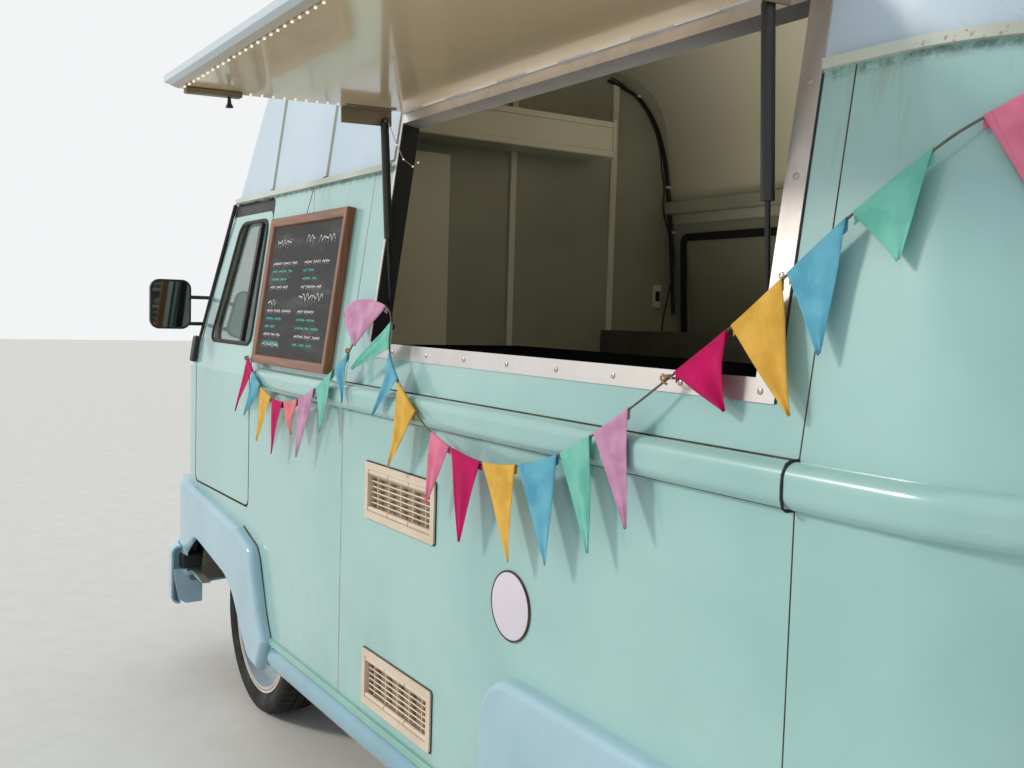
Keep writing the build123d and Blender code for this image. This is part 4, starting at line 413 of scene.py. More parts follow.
def skin(name, grid, finish, body="truck_body", wrap=(False, True), caps=True, uv=None, sharp=35):
    """Joins each point of a (copies, rows, columns, 3) grid to its neighbours in quads.

    wrap closes the grid along its rows or its columns, and caps close the ends of each tube. The normals
    are then turned outwards. Edges sharper than the angle sharp, in degrees, stay sharp.
    """
    grid = np.asarray(grid, float)
    rows, columns = grid.shape[-3:-1]
    grid = grid.reshape(-1, rows, columns, 3)
    index = np.arange(grid.size // 3).reshape(grid.shape[:3])
    ring = np.concatenate((index, index[:, :1]), 1) if wrap[0] else index
    ring = np.concatenate((ring, ring[:, :, :1]), 2) if wrap[1] else ring
    quads = np.stack((ring[:, :-1, :-1], ring[:, :-1, 1:], ring[:, 1:, 1:], ring[:, 1:, :-1]), -1)
    faces = quads.reshape(-1, 4).tolist()
    if caps and wrap == (False, True):
        faces += index[:, 0].tolist() + index[:, -1].tolist()
    mesh = bpy.data.meshes.new(name)
    mesh.from_pydata(place(grid).reshape(-1, 3).tolist(), [], faces)
    if uv is not None:
        corner = np.empty(len(mesh.loops), int)
        mesh.loops.foreach_get("vertex_index", corner)
        layer = mesh.uv_layers.new(name="UVMap")
        layer.data.foreach_set("uv", np.asarray(uv, float).reshape(-1, 2)[corner].ravel())
    work = bmesh.new()
    work.from_mesh(mesh)
    bmesh.ops.recalc_face_normals(work, faces=work.faces)
    work.to_mesh(mesh)
    work.free()
    mesh.shade_smooth()
    mesh.set_sharp_from_angle(angle=math.radians(sharp))
    piece = bpy.data.objects.new(name, mesh)
    bpy.context.scene.collection.objects.link(piece)
    mesh.materials.append(finish)
    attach(piece, body)
    return piece


HALF_WIDTH = 910
BELT_Z = 1240
SIDE_LEAN = 86 / 613
SIDE_NORMAL = np.array((0, 0.990, 0.139))


def side_y(z):
    """Y of the body's skin: 910 up to the belt line at 1240, then in by 86 over the 613 up to the gutter."""
    return HALF_WIDTH - SIDE_LEAN * np.maximum(np.asarray(z, float) - BELT_Z, 0)


def on_side(x, z, out=0.0):
    """Points on the left side, moved out along the leaning panel's normal."""
    x, z, out = np.broadcast_arrays(np.asarray(x, float), z, out)
    return np.stack((x, side_y(z) + out * SIDE_NORMAL[1], z + out * SIDE_NORMAL[2]), -1)


def boxes(limits, at=None):
    """Corners of boxes given as rows of (x0, x1, y0, y1, z0, z1). at turns (x, y, z) into other places."""
    limits = np.asarray(limits, float).reshape(-1, 6)
    x = limits[:, [0, 1, 1, 0]][:, None, :]
    y = limits[:, [2, 2, 3, 3]][:, None, :]
    z = limits[:, [4, 5]][:, :, None]
    x, y, z = np.broadcast_arrays(x, y, z)
    return np.stack((x, y, z), -1) if at is None else at(x, y, z)


def slabs(limits):
    """Boxes on the leaning side: y0 and y1 are the two distances out from the skin."""
    return boxes(limits, lambda x, y, z: on_side(x, z, y))


def soften(piece, width_mm, segments=2):
    """Rounds the edges of a piece with a bevel."""
    bevel = piece.modifiers.new("bevel", "BEVEL")
    bevel.width = width_mm / 1000
    bevel.segments = segments
    bevel.limit_method = "ANGLE"
    return piece


def frames(path):
    """Tangent and two directions square to it at each point: central differences, then cross products."""
    along = np.gradient(path, axis=0)
    along /= np.linalg.norm(along, axis=1, keepdims=True)
    spread = np.linalg.norm(np.ptp(along, axis=0)) > 0
    guide = np.eye(3)[np.argmin(np.abs(along).max(0) if spread else np.abs(along[0]))]
    first = np.cross(along, guide)
    first /= np.linalg.norm(first, axis=1, keepdims=True)
    return along, first, np.cross(along, first)


def tube(path, radius, sides=12):
    """A round section swept along a path: path + radius (first cos a + second sin a)."""
    path = np.asarray(path, float)
    _, first, second = frames(path)
    angle = np.linspace(0, 2 * np.pi, sides, endpoint=False)[None, :, None]
    radius = np.broadcast_to(radius, len(path))[:, None, None]
    return path[:, None] + radius * (first[:, None] * np.cos(angle) + second[:, None] * np.sin(angle))


def turned(profile, centres, axis, sides=24):
    """A profile of (along, radius) turned about an axis through each centre."""
    axis = np.asarray(axis, float) / np.linalg.norm(axis)
    guide = np.eye(3)[np.argmin(np.abs(axis))]
    first = np.cross(axis, guide)
    first /= np.linalg.norm(first)
    second = np.cross(axis, first)
    angle = np.linspace(0, 2 * np.pi, sides, endpoint=False)[None, :, None]
    profile = np.asarray(profile, float)
    ring = profile[:, 1, None, None] * (first * np.cos(angle) + second * np.sin(angle))
    shape = ring + profile[:, 0, None, None] * axis
    return np.asarray(centres, float).reshape(-1, 1, 1, 3) + shape


def rounded(corners, radius, steps=6):
    """Closed outline of points: each corner becomes a quadratic curve that starts one radius before it."""
    corners = np.asarray(corners, float)
    before = np.roll(corners, 1, 0) - corners
    after = np.roll(corners, -1, 0) - corners
    start = corners + before / np.linalg.norm(before, axis=1, keepdims=True) * radius
    end = corners + after / np.linalg.norm(after, axis=1, keepdims=True) * radius
    t = np.linspace(0, 1, steps)[None, :, None]
    curve = (1 - t) ** 2 * start[:, None] + 2 * t * (1 - t) * corners[:, None] + t ** 2 * end[:, None]
    return curve.reshape(-1, corners.shape[1])


def ring_tube(outline, section):
    """A section of (across, up) offsets carried round a closed outline: point + across * the normal there."""
    outline = np.asarray(outline, float)
    step = np.roll(outline, -1, 0) - np.roll(outline, 1, 0)
    normal = np.stack((step[:, 1], -step[:, 0]), -1)
    normal /= np.linalg.norm(normal, axis=1, keepdims=True)
    section = np.asarray(section, float)
    flat = outline[:, None] + normal[:, None] * section[None, :, :1]
    return flat, np.broadcast_to(section[None, :, 1], flat.shape[:2])


print("surface helpers ready")

# %% [markdown]
# ## The bunting
#
# A limp 4 mm cord hangs from the load space's rear corner, along the counter, up round the hatch corner
# where two loops of it are caught, and on to a peg by the cab door. It is about 3.3 m long. Its line is
# one smooth curve whose control points are the drawing's route. Each pennant is a triangle of cotton with
# a sleeve that wraps the cord and a hem along its edges, and the wind has swung some of them.

# %% Cord
ROUTE = (
    (-2935, 757, 1812), (-2822, 842, 1735), (-2780, 862, 1703), (-2668, 884, 1624), (-2563, 895, 1538),
    (-2462, 905, 1457), (-2350, 917, 1381), (-2276, 938, 1322), (-2180, 950, 1262), (-2090, 953, 1215),
    (-1955, 954, 1176), (-1815, 954, 1163), (-1688, 953, 1177), (-1590, 953, 1205), (-1522, 952, 1234),
    (-1415, 948, 1300), (-1333, 938, 1372), (-1338, 930, 1450), (-1300, 924, 1484), (-1116, 914, 1503),
    (-1010, 925, 1466), (-1072, 908, 1402), (-1090, 928, 1362), (-1030, 952, 1306), (-910, 953, 1247),
    (-790, 953, 1208), (-665, 953, 1186), (-560, 953, 1190), (-455, 951, 1217), (-360, 946, 1262),
    (-262, 930, 1303),
)
route = np.array(ROUTE, float)
line = bpy.data.curves.new("bunting_line", "CURVE")
line.dimensions = "3D"
line.resolution_u = 10
spline = line.splines.new("NURBS")
spline.points.add(len(route) - 1)
spline.points.foreach_set("co", np.column_stack((place(route), np.ones(len(route)))).ravel())
spline.order_u = 3
spline.use_endpoint_u = True
bunting_line = bpy.data.objects.new("bunting_line", line)
bpy.context.scene.collection.objects.link(bunting_line)
thread = bpy.data.meshes.new_from_object(bunting_line)
string = np.empty(len(thread.vertices) * 3)
thread.vertices.foreach_get("co", string)
string = string.reshape(-1, 3) * 1000 - AXLE_TO_ORIGIN
bpy.data.meshes.remove(thread)
walked = np.concatenate(([0], np.cumsum(np.linalg.norm(np.diff(string, axis=0), axis=1))))
line.bevel_depth = 0.002
line.bevel_resolution = 3
line.use_fill_caps = True
line.materials.append(string_grey)
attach(bunting_line, "truck_body")
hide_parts("bunting_cord")
print("cord", round(walked[-1]), "mm")

# %% Pennants


def cloth(name, colour, shade):
    """Plain-woven cotton: crossed waves of thread as bump, faded patches and a darker line of stitches.

    Real threads lie 0.4 mm apart. They are drawn 1.2 mm apart so that they show. The stitches run where
    the distance from the middle of the piece's own UV width is 0.43, which is along both hems.
    """
    made, tree, shader, where = material(name, roughness=0.88, sheen_weight=0.05, specular_ior_level=0.25)
    uv = add(tree, "TexCoord", {}, out="UV")
    fade = add(tree, "TexNoise", {"Vector": where, "Scale": 22, "Detail": 4})
    fade = add(tree, "MapRange", {0: fade, 1: 0.35, 2: 0.7}, **SMOOTH)
    base = add(tree, "Mix", {0: fade, 6: colour, 7: shade}, out=2, **COLOURS)
    u = add(tree, "SeparateXYZ", {0: uv}, out=0)
    off = add(tree, "Math", {0: u, 1: 0.5}, operation="SUBTRACT")
    off = add(tree, "Math", {0: off}, operation="ABSOLUTE")
    off = add(tree, "Math", {0: off, 1: 0.43}, operation="SUBTRACT")
    off = add(tree, "Math", {0: off}, operation="ABSOLUTE")
    hem = add(tree, "MapRange", {0: off, 1: 0.004, 2: 0.016, 3: 0.45, 4: 0}, **SMOOTH)
    base = add(tree, "Mix", {0: hem, 6: base, 7: shade}, out=2, **COLOURS)
    tree.links.new(base, shader.inputs["Base Color"])
    warp = add(tree, "TexWave", {"Vector": where, "Scale": 260, "Distortion": 0.6}, out="Fac",
               bands_direction="X")
    weft = add(tree, "TexWave", {"Vector": where, "Scale": 260, "Distortion": 0.6}, out="Fac",
               bands_direction="Z")
    weave = add(tree, "Math", {0: warp, 1: weft}, operation="ADD")
    weave = add(tree, "Bump", {"Height": weave, "Strength": 0.35, "Distance": 0.0004})
    pucker = add(tree, "TexNoise", {"Vector": where, "Scale": 60, "Detail": 3})
    pucker = add(tree, "Bump", {"Height": pucker, "Strength": 0.5, "Distance": 0.002, "Normal": weave})
    tree.links.new(pucker, shader.inputs["Normal"])
    return made


cottons = {
    "pink": cloth("cotton_pink", "#E985A2", "#D86F90"),
    "mint": cloth("cotton_mint", "#7FCDBC", "#69BBAA"),
    "blue": cloth("cotton_blue", "#6BB6CF", "#549FBC"),
    "yellow": cloth("cotton_yellow", "#E6B854", "#D2A23F"),
    "magenta": cloth("cotton_magenta", "#C60060", "#AE0052"),
    "lilac": cloth("cotton_lilac", "#D3A2C2", "#BD88AC"),
    "coral": cloth("cotton_coral", "#EA8E93", "#D5757C"),
}
# Colour, first and last point of the route, how far the tip hangs, its shift forward, and how crumpled it is
PENNANTS = (
    ("pink", 0, 1, 130, -20, 4), ("mint", 2, 3, 90, -26, 4), ("blue", 3, 4, 137, -30, 5),
    ("yellow", 4, 5, 142, -95, 8), ("magenta", 5, 6, 70, -70, 9), ("lilac", 7, 8, 159, -58, 5),
    ("mint", 8, 9, 168, -49, 4), ("blue", 9, 10, 175, -33, 3), ("yellow", 10, 11, 171, -42, 4),
    ("magenta", 11, 12, 170, 22, 4), ("pink", 12, 13, 135, 64, 6), ("yellow", 14, 15, 156, 90, 6),
    ("blue", 15, 16, 105, 81, 8), ("mint", 16, 17, 77, 200, 10), ("lilac", 18, 20, 82, 22, 9),
    ("blue", 22, 23, 92, -34, 6), ("green", 23, 24, 126, 15, 4), ("lilac", 24, 25, 172, 78, 5),
    ("coral", 25, 26, 82, -1, 8), ("magenta", 26, 27, 150, 51, 4), ("yellow", 27, 28, 142, 89, 5),
    ("blue", 28, 29, 109, 120, 7), ("magenta", 29, 30, 148, 130, 6),
)
SLEEVE_RADIUS = 3.2
u = np.linspace(0, 1, 19)
turn_back = np.linspace(-0.5 * np.pi, 0.5 * np.pi, 7)
over_cord = SLEEVE_RADIUS * np.stack((np.sin(turn_back), np.cos(turn_back)), -1)
sleeve = np.concatenate(([[-SLEEVE_RADIUS, -16], [-SLEEVE_RADIUS, -9]], over_cord))
fall = np.linspace(0, 1, 17)[1:]
for number, (colour, first, last, hang, shift, crumple) in enumerate(PENNANTS):
    begin = walked[np.argmin(np.linalg.norm(string - route[first], axis=1))]
    stop = walked[np.argmin(np.linalg.norm(string - route[last], axis=1))]
    at = begin + 6 + (stop - begin - 12) * u
    top = np.stack([np.interp(at, walked, string[:, axis]) for axis in range(3)], -1)
    ahead = top[-1] - top[0]
    outward = np.array((-ahead[1], ahead[0], 0)) / np.hypot(ahead[0], ahead[1])
    outward *= np.sign(outward[1])
    middle = (route[first] + route[last]) / 2
    tip = middle + (shift, SIDE_LEAN * max(0, min(hang, middle[2] - BELT_Z)), -hang - 15)
    rolled = top[None] + sleeve[:, 0, None, None] * outward + sleeve[:, 1, None, None] * np.array((0, 0, 1))
    edge = rolled[-1]
    v = fall[:, None, None]
    spread = (u - 0.5)[None, :, None] * 5 * ahead / np.linalg.norm(ahead)
    cloth_grid = (1 - v) * edge[None] + v * (tip + spread)
    folds = np.sin(2 * np.pi * (1.4 * u[None] + 0.3 * fall[:, None]) + 1.7 * number)
    folds = folds * (1 - 0.4 * fall[:, None])
    curl = np.sin(np.pi * fall[:, None]) * np.cos(1.3 * number + 2.2 * fall[:, None])
    swing = np.minimum(3 * fall[:, None], 1) * crumple * (0.5 * folds + 0.5 * curl)
    cloth_grid = cloth_grid + swing[..., None] * outward
    grid = np.concatenate((rolled, cloth_grid))
    rows = np.concatenate((np.full(len(sleeve), 0.0), fall))
    uv = np.stack(np.broadcast_arrays(u[None], rows[:, None]), -1)
    paint = cottons["mint" if colour == "green" else colour]
    piece = skin(f"pennant_{number:02d}_{colour}", grid, paint, wrap=(False, False), uv=uv, sharp=180)
    thick = piece.modifiers.new("cloth_thickness", "SOLIDIFY")
    thick.thickness = 0.0006
    thick.offset = 0
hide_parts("pennants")

# %% [markdown]
# Two knots show: the cord is tied to the strut's foot at the hatch corner, and its far end is knotted to the
# last peg.

# %% Knots
KNOTS = ((-1094, 938, 1364), (-262, 934, 1303), (-2935, 761, 1812), (-2340, 924, 1376))
round_knot = np.linspace(0, 2 * np.pi, 61)
knot_path = np.stack((7 * np.sin(round_knot) + 3 * np.sin(2 * round_knot), 5 * np.cos(3 * round_knot),
                      7 * np.cos(round_knot) - 3 * np.cos(2 * round_knot)), -1)
knot_tubes = np.stack([tube(knot_path[:-1] + centre, 2.0, 8) for centre in KNOTS])
knots = skin("jute_knots", knot_tubes, jute, wrap=(True, True))

# %% [markdown]
# ## Tyres
#
# A van tyre, 672 mm over the tread and 160 mm wide. Its outline is turned round the axle. Two grooves run
# round the tread, and the shoulders are notched 60 times a turn by taking 5 mm off their radius.

# %% Tyres
HALF_OUTLINE = (
    (59.7, 246.4), (60.5, 262), (63, 268), (70, 276), (76.5, 290), (78.4, 299), (79.5, 301), (79.3, 306),
    (77, 316), (71.5, 327), (66, 332), (56, 335.6), (40, 336), (24, 336), (23, 329), (16, 329), (15, 336),
    (0, 336),
)
WHEEL_Y = 720
NOTCH_DEPTH = 5
TURN_STEPS = 240
half = np.array(HALF_OUTLINE)
tyre_outline = np.concatenate((half, half[-2::-1] * (-1, 1)))
shoulder = (np.abs(tyre_outline[:, 0]) > 38) & (tyre_outline[:, 1] > 320)
notch = np.arange(TURN_STEPS) % 4 == 0
CORNERS = (("front_left", "wheel_fl", 0, WHEEL_Y), ("front_right", "wheel_fr", 0, -WHEEL_Y),
           ("rear_left", "wheel_rl", REAR_AXLE_X, WHEEL_Y), ("rear_right", "wheel_rr", REAR_AXLE_X, -WHEEL_Y))
for name, body, x, y in CORNERS:
    centre = np.array((x, y, TYRE_RADIUS))
    shape = turned(tyre_outline, centre, (0, 1, 0), TURN_STEPS)
    squeeze = 1 - NOTCH_DEPTH / TYRE_RADIUS * (shoulder[:, None] & notch[None, :])
    shape = np.where([True, False, True], centre + (shape - centre) * squeeze[None, ..., None], shape)
    tyre = skin(f"tyre_tread_{name}", shape, tyre_rubber, body, wrap=(True, True), sharp=25)
    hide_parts(f"tyre_{name}")
print("tyres 4")

# %% [markdown]
# ## Cab seats
#
# Each seat has a boxed base, a cushion and a backrest. Cushions are superellipsoids: each direction's sine
# or cosine is raised to a power of 0.32, which gives a full block whose edges pull in, with a crowned face.
# Two sewn channels are pressed 7 mm into the face.

# %% Seats


def pad(centre, size, face):
    """Superellipsoid of a size, with channels at a third and two thirds of its width on the face's side."""
    rise = np.linspace(-0.5 * np.pi, 0.5 * np.pi, 51)[1:-1, None]
    round_ = np.linspace(0, 2 * np.pi, 96, endpoint=False)[None, :]
    power = 0.32
    x = np.sign(np.cos(round_)) * np.abs(np.cos(round_)) ** power * np.cos(rise) ** power
    y = np.sign(np.sin(round_)) * np.abs(np.sin(round_)) ** power * np.cos(rise) ** power
    z = np.sign(np.sin(rise)) * np.abs(np.sin(rise)) ** power + 0 * round_
    points = np.stack((x, y, z), -1)
    channel = np.exp(-((np.abs(y) - 0.34) / 0.05) ** 2) * 7
    toward = points[..., face[0]] * face[1] > 0.6
    points = points * np.array(size) / 2
    points[..., face[0]] -= face[1] * channel * toward
    return points + centre


for hand, name in ((1, "left"), (-1, "right")):
    middle = hand * 500
    cushion = pad((-55, middle, 906), (470, 416, 108), (2, 1))
    backrest = pad((-264, middle, 1190), (108, 416, 478), (0, 1))
    seat_pad = skin(f"seat_cushion_{name}", cushion, vinyl_black, sharp=180)
    back_pad = skin(f"seat_back_{name}", backrest, vinyl_black, sharp=180)
    base = skin(f"seat_base_{name}", boxes((-315, 150, middle - 205, middle + 205, 770, 851)), chassis_iron)
    soften(base, 12)
    if hand > 0:
        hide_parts("cab_seats")
print("seats 2")

# %% [markdown]
# ## Menu board
#
# A blackboard in a frame of varnished pine, mitred at its corners, hung by a wire from the gutter. A rail's
# section is carried straight along and cut at 45 degrees, because each of its points starts as far in from
# the corner as it lies in from the frame's edge.

# %% Finishes of the board


def timber(name, stretch):
    """Varnished pine: grain lines from noise that stretch draws out along the rail, under a clear coat.

    Pine's rings lie 3 mm apart. These are about 14 mm wide, so that they show.
    """
    made, tree, shader, where = material(name, roughness=0.45, coat_weight=0.25)
    drawn = add(tree, "Mapping", {"Vector": where, "Scale": stretch})
    rings = add(tree, "TexNoise", {"Vector": drawn, "Scale": 70, "Detail": 5, "Distortion": 0.8})
    rings = add(tree, "MapRange", {0: rings, 1: 0.3, 2: 0.7}, **SMOOTH)
    base = add(tree, "Mix", {0: rings, 6: "#8F5B35", 7: "#6F4126"}, out=2, **COLOURS)
    tree.links.new(base, shader.inputs["Base Color"])
    relief = add(tree, "Bump", {"Height": rings, "Strength": 0.3, "Distance": 0.0005})
    tree.links.new(relief, shader.inputs["Normal"])
    return made


def blackboard():
    """Matt blackboard paint with a 2.5 mm grain, and chalk dust wiped across it in wide soft bands."""
    made, tree, shader, where = material("blackboard_paint", roughness=0.9)
    drawn = add(tree, "Mapping", {"Vector": where, "Scale": (0.5, 1, 2), "Rotation": (0, 0.5, 0)})
    dust = add(tree, "TexNoise", {"Vector": drawn, "Scale": 9, "Detail": 6, "Roughness": 0.7})
    dust = add(tree, "MapRange", {0: dust, 1: 0.45, 2: 0.75, 3: 0, 4: 0.35}, **SMOOTH)
    base = add(tree, "Mix", {0: dust, 6: "#37383A", 7: "#7B7D7A"}, out=2, **COLOURS)
    tree.links.new(base, shader.inputs["Base Color"])
    grain = add(tree, "TexNoise", {"Vector": where, "Scale": 400, "Detail": 2})
    grain = add(tree, "Bump", {"Height": grain, "Strength": 0.3, "Distance": 0.0003})
    tree.links.new(grain, shader.inputs["Normal"])
    return made


print("board finishes", 2)

# %% Board
BOARD = np.array(((-903.0, 1287.0), (-283.0, 1757.0)))
RAIL_SECTION = np.array(((0, 0.4), (0, 23), (2.5, 26), (13, 26.2), (26, 23), (29.5, 17), (29.5, 0.4)))
inset = RAIL_SECTION[None, :, 0]
out = RAIL_SECTION[None, :, 1]
ends = np.array(((BOARD[0, 0], 1), (BOARD[1, 0], -1)))[:, :, None]
level_x = ends[:, 0] + ends[:, 1] * inset
rails = np.stack([on_side(level_x, BOARD[side, 1] + sign * inset, out) for side, sign in ((0, 1), (1, -1))])
tall = np.array(((BOARD[0, 1], 1), (BOARD[1, 1], -1)))[:, :, None]
level_z = tall[:, 0] + tall[:, 1] * inset
stiles = np.stack([on_side(BOARD[side, 0] + sign * inset, level_z, out) for side, sign in ((0, 1), (1, -1))])
board_rails = skin("menu_board_rails", rails, timber("varnished_pine_rails", (0.05, 1, 1)))
skin("menu_board_stiles", stiles, timber("varnished_pine_stiles", (1, 1, 0.05)))
skin("menu_board_panel", slabs((-874, -312, 4, 15.5, 1316, 1728)), blackboard())
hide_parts("menu_board")
print("board pieces", 3)

# %% [markdown]
# Rows of white and teal chalk fill the board. Each stroke is a flat ribbon along a wave that says nothing,
# laid 0.4 mm over the paint, and its length is drawn at random from one fixed seed. Two thin wires carry the
# board from a hook under the gutter.

# %% Chalk and wire
rng = np.random.default_rng(7)


def strokes(name, rows, finish):
    """Chalk ribbons 3.4 mm wide, one for each row (x0, z0, length L, height h).

    With t from 0 to 1 and w = 2 pi L / 1.7 h, so that a wave is 1.7 times as long as it is high:
    x = x0 - L t + 0.38 h cos(w t + x0), and z = z0 + h (0.65 sin(w t + x0) + 0.35 sin(1.73 w t + z0)).
    """
    x0, z0, long, high = np.array(rows, float).T[..., None]
    t = np.linspace(0, 1, 72)[None]
    waves = long / (1.7 * high) * 2 * np.pi
    wiggle = high * (0.65 * np.sin(waves * t + x0) + 0.35 * np.sin(1.73 * waves * t + z0))
    x = x0 - long * t + 0.38 * high * np.cos(waves * t + x0)
    z = z0 + wiggle
    grid = np.stack([on_side(x, z + up, 15.9) for up in (-1.7, 1.7)], 2)
    piece = skin(name, grid, finish, wrap=(False, False), sharp=180)
    layer = piece.modifiers.new("chalk_layer", "SOLIDIFY")
    layer.thickness = 0.0003
    return piece


white_rows, teal_rows = [], []
for column in (-342, -612):
    for number in (0, 1, 2, 3, 6, 7, 8, 9, 10):
        z = 1606 - 25 * number
        x = column
        for long in rng.uniform(30, 80, rng.integers(2, 4)):
            (teal_rows if number % 3 else white_rows).append((x, z, long, 6.5))
            x -= long + 12
white_rows += [(-350, 1672, 130, 13), (-610, 1676, 60, 15), (-700, 1672, 130, 14),
               (-345, 1480, 70, 13), (-600, 1498, 190, 16), (-345, 1348, 150, 9)]
strokes("chalk_strokes_white", white_rows, chalk_white)
strokes("chalk_strokes_teal", teal_rows, chalk_teal)
hook = on_side(-622, 1836, 24)
eyes = on_side(np.array((-600.0, -655.0)), 1755, 27)
wires = np.stack([tube(np.linspace(hook, eye, 5), 1.0, 8) for eye in eyes])
skin("board_wire", wires, rod_dark)
print("chalk strokes", len(white_rows) + len(teal_rows))

# %% [markdown]
# ## Hatch and flap
#
# Round-headed screws hold the aluminium strips, 179 mm apart below and about 146 mm apart beside. A dark
# reveal closes the hatch's front edge.

# %% Hatch screws and reveal
DOME = ((0.3, 5.4), (1.2, 5.3), (1.9, 4.4), (2.1, 2.6), (1.2, 1.9), (1.1, 0.2))
screw_x = np.concatenate((-1272 - 179 * np.arange(8.0), np.full(4, -2534.0)))
screw_z = np.concatenate((np.full(8, 1368.0), (1396, 1542, 1691, 1833)))
skin("hatch_screws", turned(DOME, on_side(screw_x, screw_z, 3), SIDE_NORMAL, 16), zinc_screw)
skin("hatch_front_reveal", slabs((-1137, -1130.4, -46, 2.2, 1390, 1960)), black_rubber)
print("screws", len(screw_x))

# %% [markdown]
# Small lamps sit in a row along the flap's outer edge, 36 mm apart, and in a second row along its front end,
# 28 mm apart. A bar and a knob latch it. Places on the flap are given by its own directions, out from the
# hinge and up from its skin, because it droops by 1.8 degrees.

# %% Flap details
HINGE_Y, HINGE_Z = 813.587, 1992.0
DROOP = math.radians(1.8)


def on_flap(x, out, up):
    """Point of the open flap: out along it from the hinge, and up square to it."""
    x, out, up = np.broadcast_arrays(np.asarray(x, float), out, up)
    y = HINGE_Y + out * math.cos(DROOP) + up * math.sin(DROOP)
    return np.stack((x, y, HINGE_Z - out * math.sin(DROOP) + up * math.cos(DROOP)), -1)


edge_lamps = np.arange(-1168, -2530, -36.0)
end_lamps = np.arange(190, 424, 28)
lamp_x = np.concatenate((edge_lamps, np.full(len(end_lamps), -1156.0)))
lamp_out = np.concatenate((np.full(len(edge_lamps), 573.0), end_lamps))
flap_down = np.array((0, -math.sin(DROOP), -math.cos(DROOP)))
LAMP_DOME = ((-0.5, 3.0), (1, 3.0), (2.3, 2.2), (3.0, 1.0), (3.1, 0.2))
skin("flap_lamps", turned(LAMP_DOME, on_flap(lamp_x, lamp_out, -1.3), flap_down, 14), lamp_warm, "flap")
latch = boxes((-1176, -1150, 440, 600, -15, -1.3), lambda x, y, z: on_flap(x, np.minimum(y, 572), z))
soften(skin("flap_latch_bar", latch, latch_bronze, "flap"), 3)
KNOB = ((0, 6), (6, 5), (18, 3.8), (28, 5), (35, 9), (38, 9), (39, 0.4))
skin("flap_knob", turned(KNOB, on_flap(-1167, 470, -1.3), flap_down, 24), black_plastic, "flap")
print("lamps", len(lamp_x))

# %% [markdown]
# ## Windows, doors and seams
#
# A black rubber seal sits round each pane, part on the glass and part on the panel. The driver's window is
# in two panes that slide, with an upright where they overlap. A dark band fills the slot over the door: it
# is painted shade, for the shadow in the slot.

# %% Window seals
REAR_X = -3100
REAR_LEAN = 80 / 613
SEAL = ((-6, 0.4), (-6, 2.5), (-2, 5.5), (4, 5.5), (8, 2.5), (8, 0.4))
side_window = rounded(((-185, 1345), (262, 1345), (92, 1765), (-185, 1765)), 45)
flat, up = ring_tube(side_window, SEAL)
skin("driver_window_seal", on_side(flat[..., 0], flat[..., 1], up), black_rubber, wrap=(True, True))
mirrored = on_side(flat[..., 0], flat[..., 1], up) * (1, -1, 1)
skin("passenger_window_seal", mirrored, black_rubber, "door_passenger", wrap=(True, True))


def behind(y, z, out):
    """Point on the rear face, which leans forward by 80 over the 613 from the belt line to the gutter."""
    y, z, out = np.broadcast_arrays(np.asarray(y, float), z, out)
    return np.stack((REAR_X + REAR_LEAN * np.maximum(z - BELT_Z, 0) - out, y, z), -1)


rear_window = rounded(((-470, 1345), (470, 1345), (470, 1700), (-470, 1700)), 60)
flat, up = ring_tube(rear_window, SEAL)
rear_seal = behind(flat[..., 0], flat[..., 1], up)
skin("rear_window_seal", rear_seal, black_rubber, "door_tailgate", wrap=(True, True))
divider = boxes((-11, 11, -14, 2.5, 1352, 1758),
                lambda x, y, z: on_side(x - 76 - 39 * (z - 1345) / 420, z, y))
soften(skin("driver_window_divider", divider, black_plastic), 2)
# The black band set in the slot over the door is painted shade.
slot = boxes((-212, 225, -24, -8, 1797, 1839), lambda x, y, z: on_side(x, z, y))
skin("door_head_painted_shade", slot, edge_black)
print("window pieces", 5)

# %% [markdown]
# The doors that open get plain pull handles, a guess at what such a van has.

# %% Handles
PULL = np.array(((0, 0.4), (0, 16), (7, 23), (20, 25), (100, 25), (113, 23), (120, 16), (120, 0.4)))


def handle(name, body, at):
    """A bent rod: 120 mm long, 25 mm out. at turns (distance along, out) into places."""
    path = at(PULL[:, 0], PULL[:, 1])
    skin(name, tube(path, 6, 12), chrome, body)


handle("passenger_handle", "door_passenger", lambda along, out: on_side(-195 + along, 1150, out) * (1, -1, 1))
handle("load_door_handle", "door_load", lambda along, out: on_side(-1300 + along, 1110, out) * (1, -1, 1))
handle("tailgate_handle", "door_tailgate", lambda along, out: behind(along - 60, 1306, out))
handle("lower_left_handle", "door_lower_left", lambda along, out: behind(45, 960 + along, out))
handle("lower_right_handle", "door_lower_right", lambda along, out: behind(-45, 960 + along, out))
print("handles", 5)

# %% [markdown]
# ## Seams
#
# The side is made of panels that meet at the hatch's two ends and under the belt moulding. Sealant fills
# their joints, and dirt and rust gather there. Each bead is a thin round tube that is sunk into the skin
# or stands just out of it.

# %% Seams of the side


def along_side(points, out, radius, sides=8):
    """A thin bead through points (x, z) of the side: straight pieces of ten steps each, then a tube."""
    points = np.asarray(points, float)
    steps = np.linspace(0, len(points) - 1, 10 * len(points))
    x = np.interp(steps, np.arange(len(points)), points[:, 0])
    z = np.interp(steps, np.arange(len(points)), points[:, 1])
    return tube(on_side(x, z, out), radius, sides)


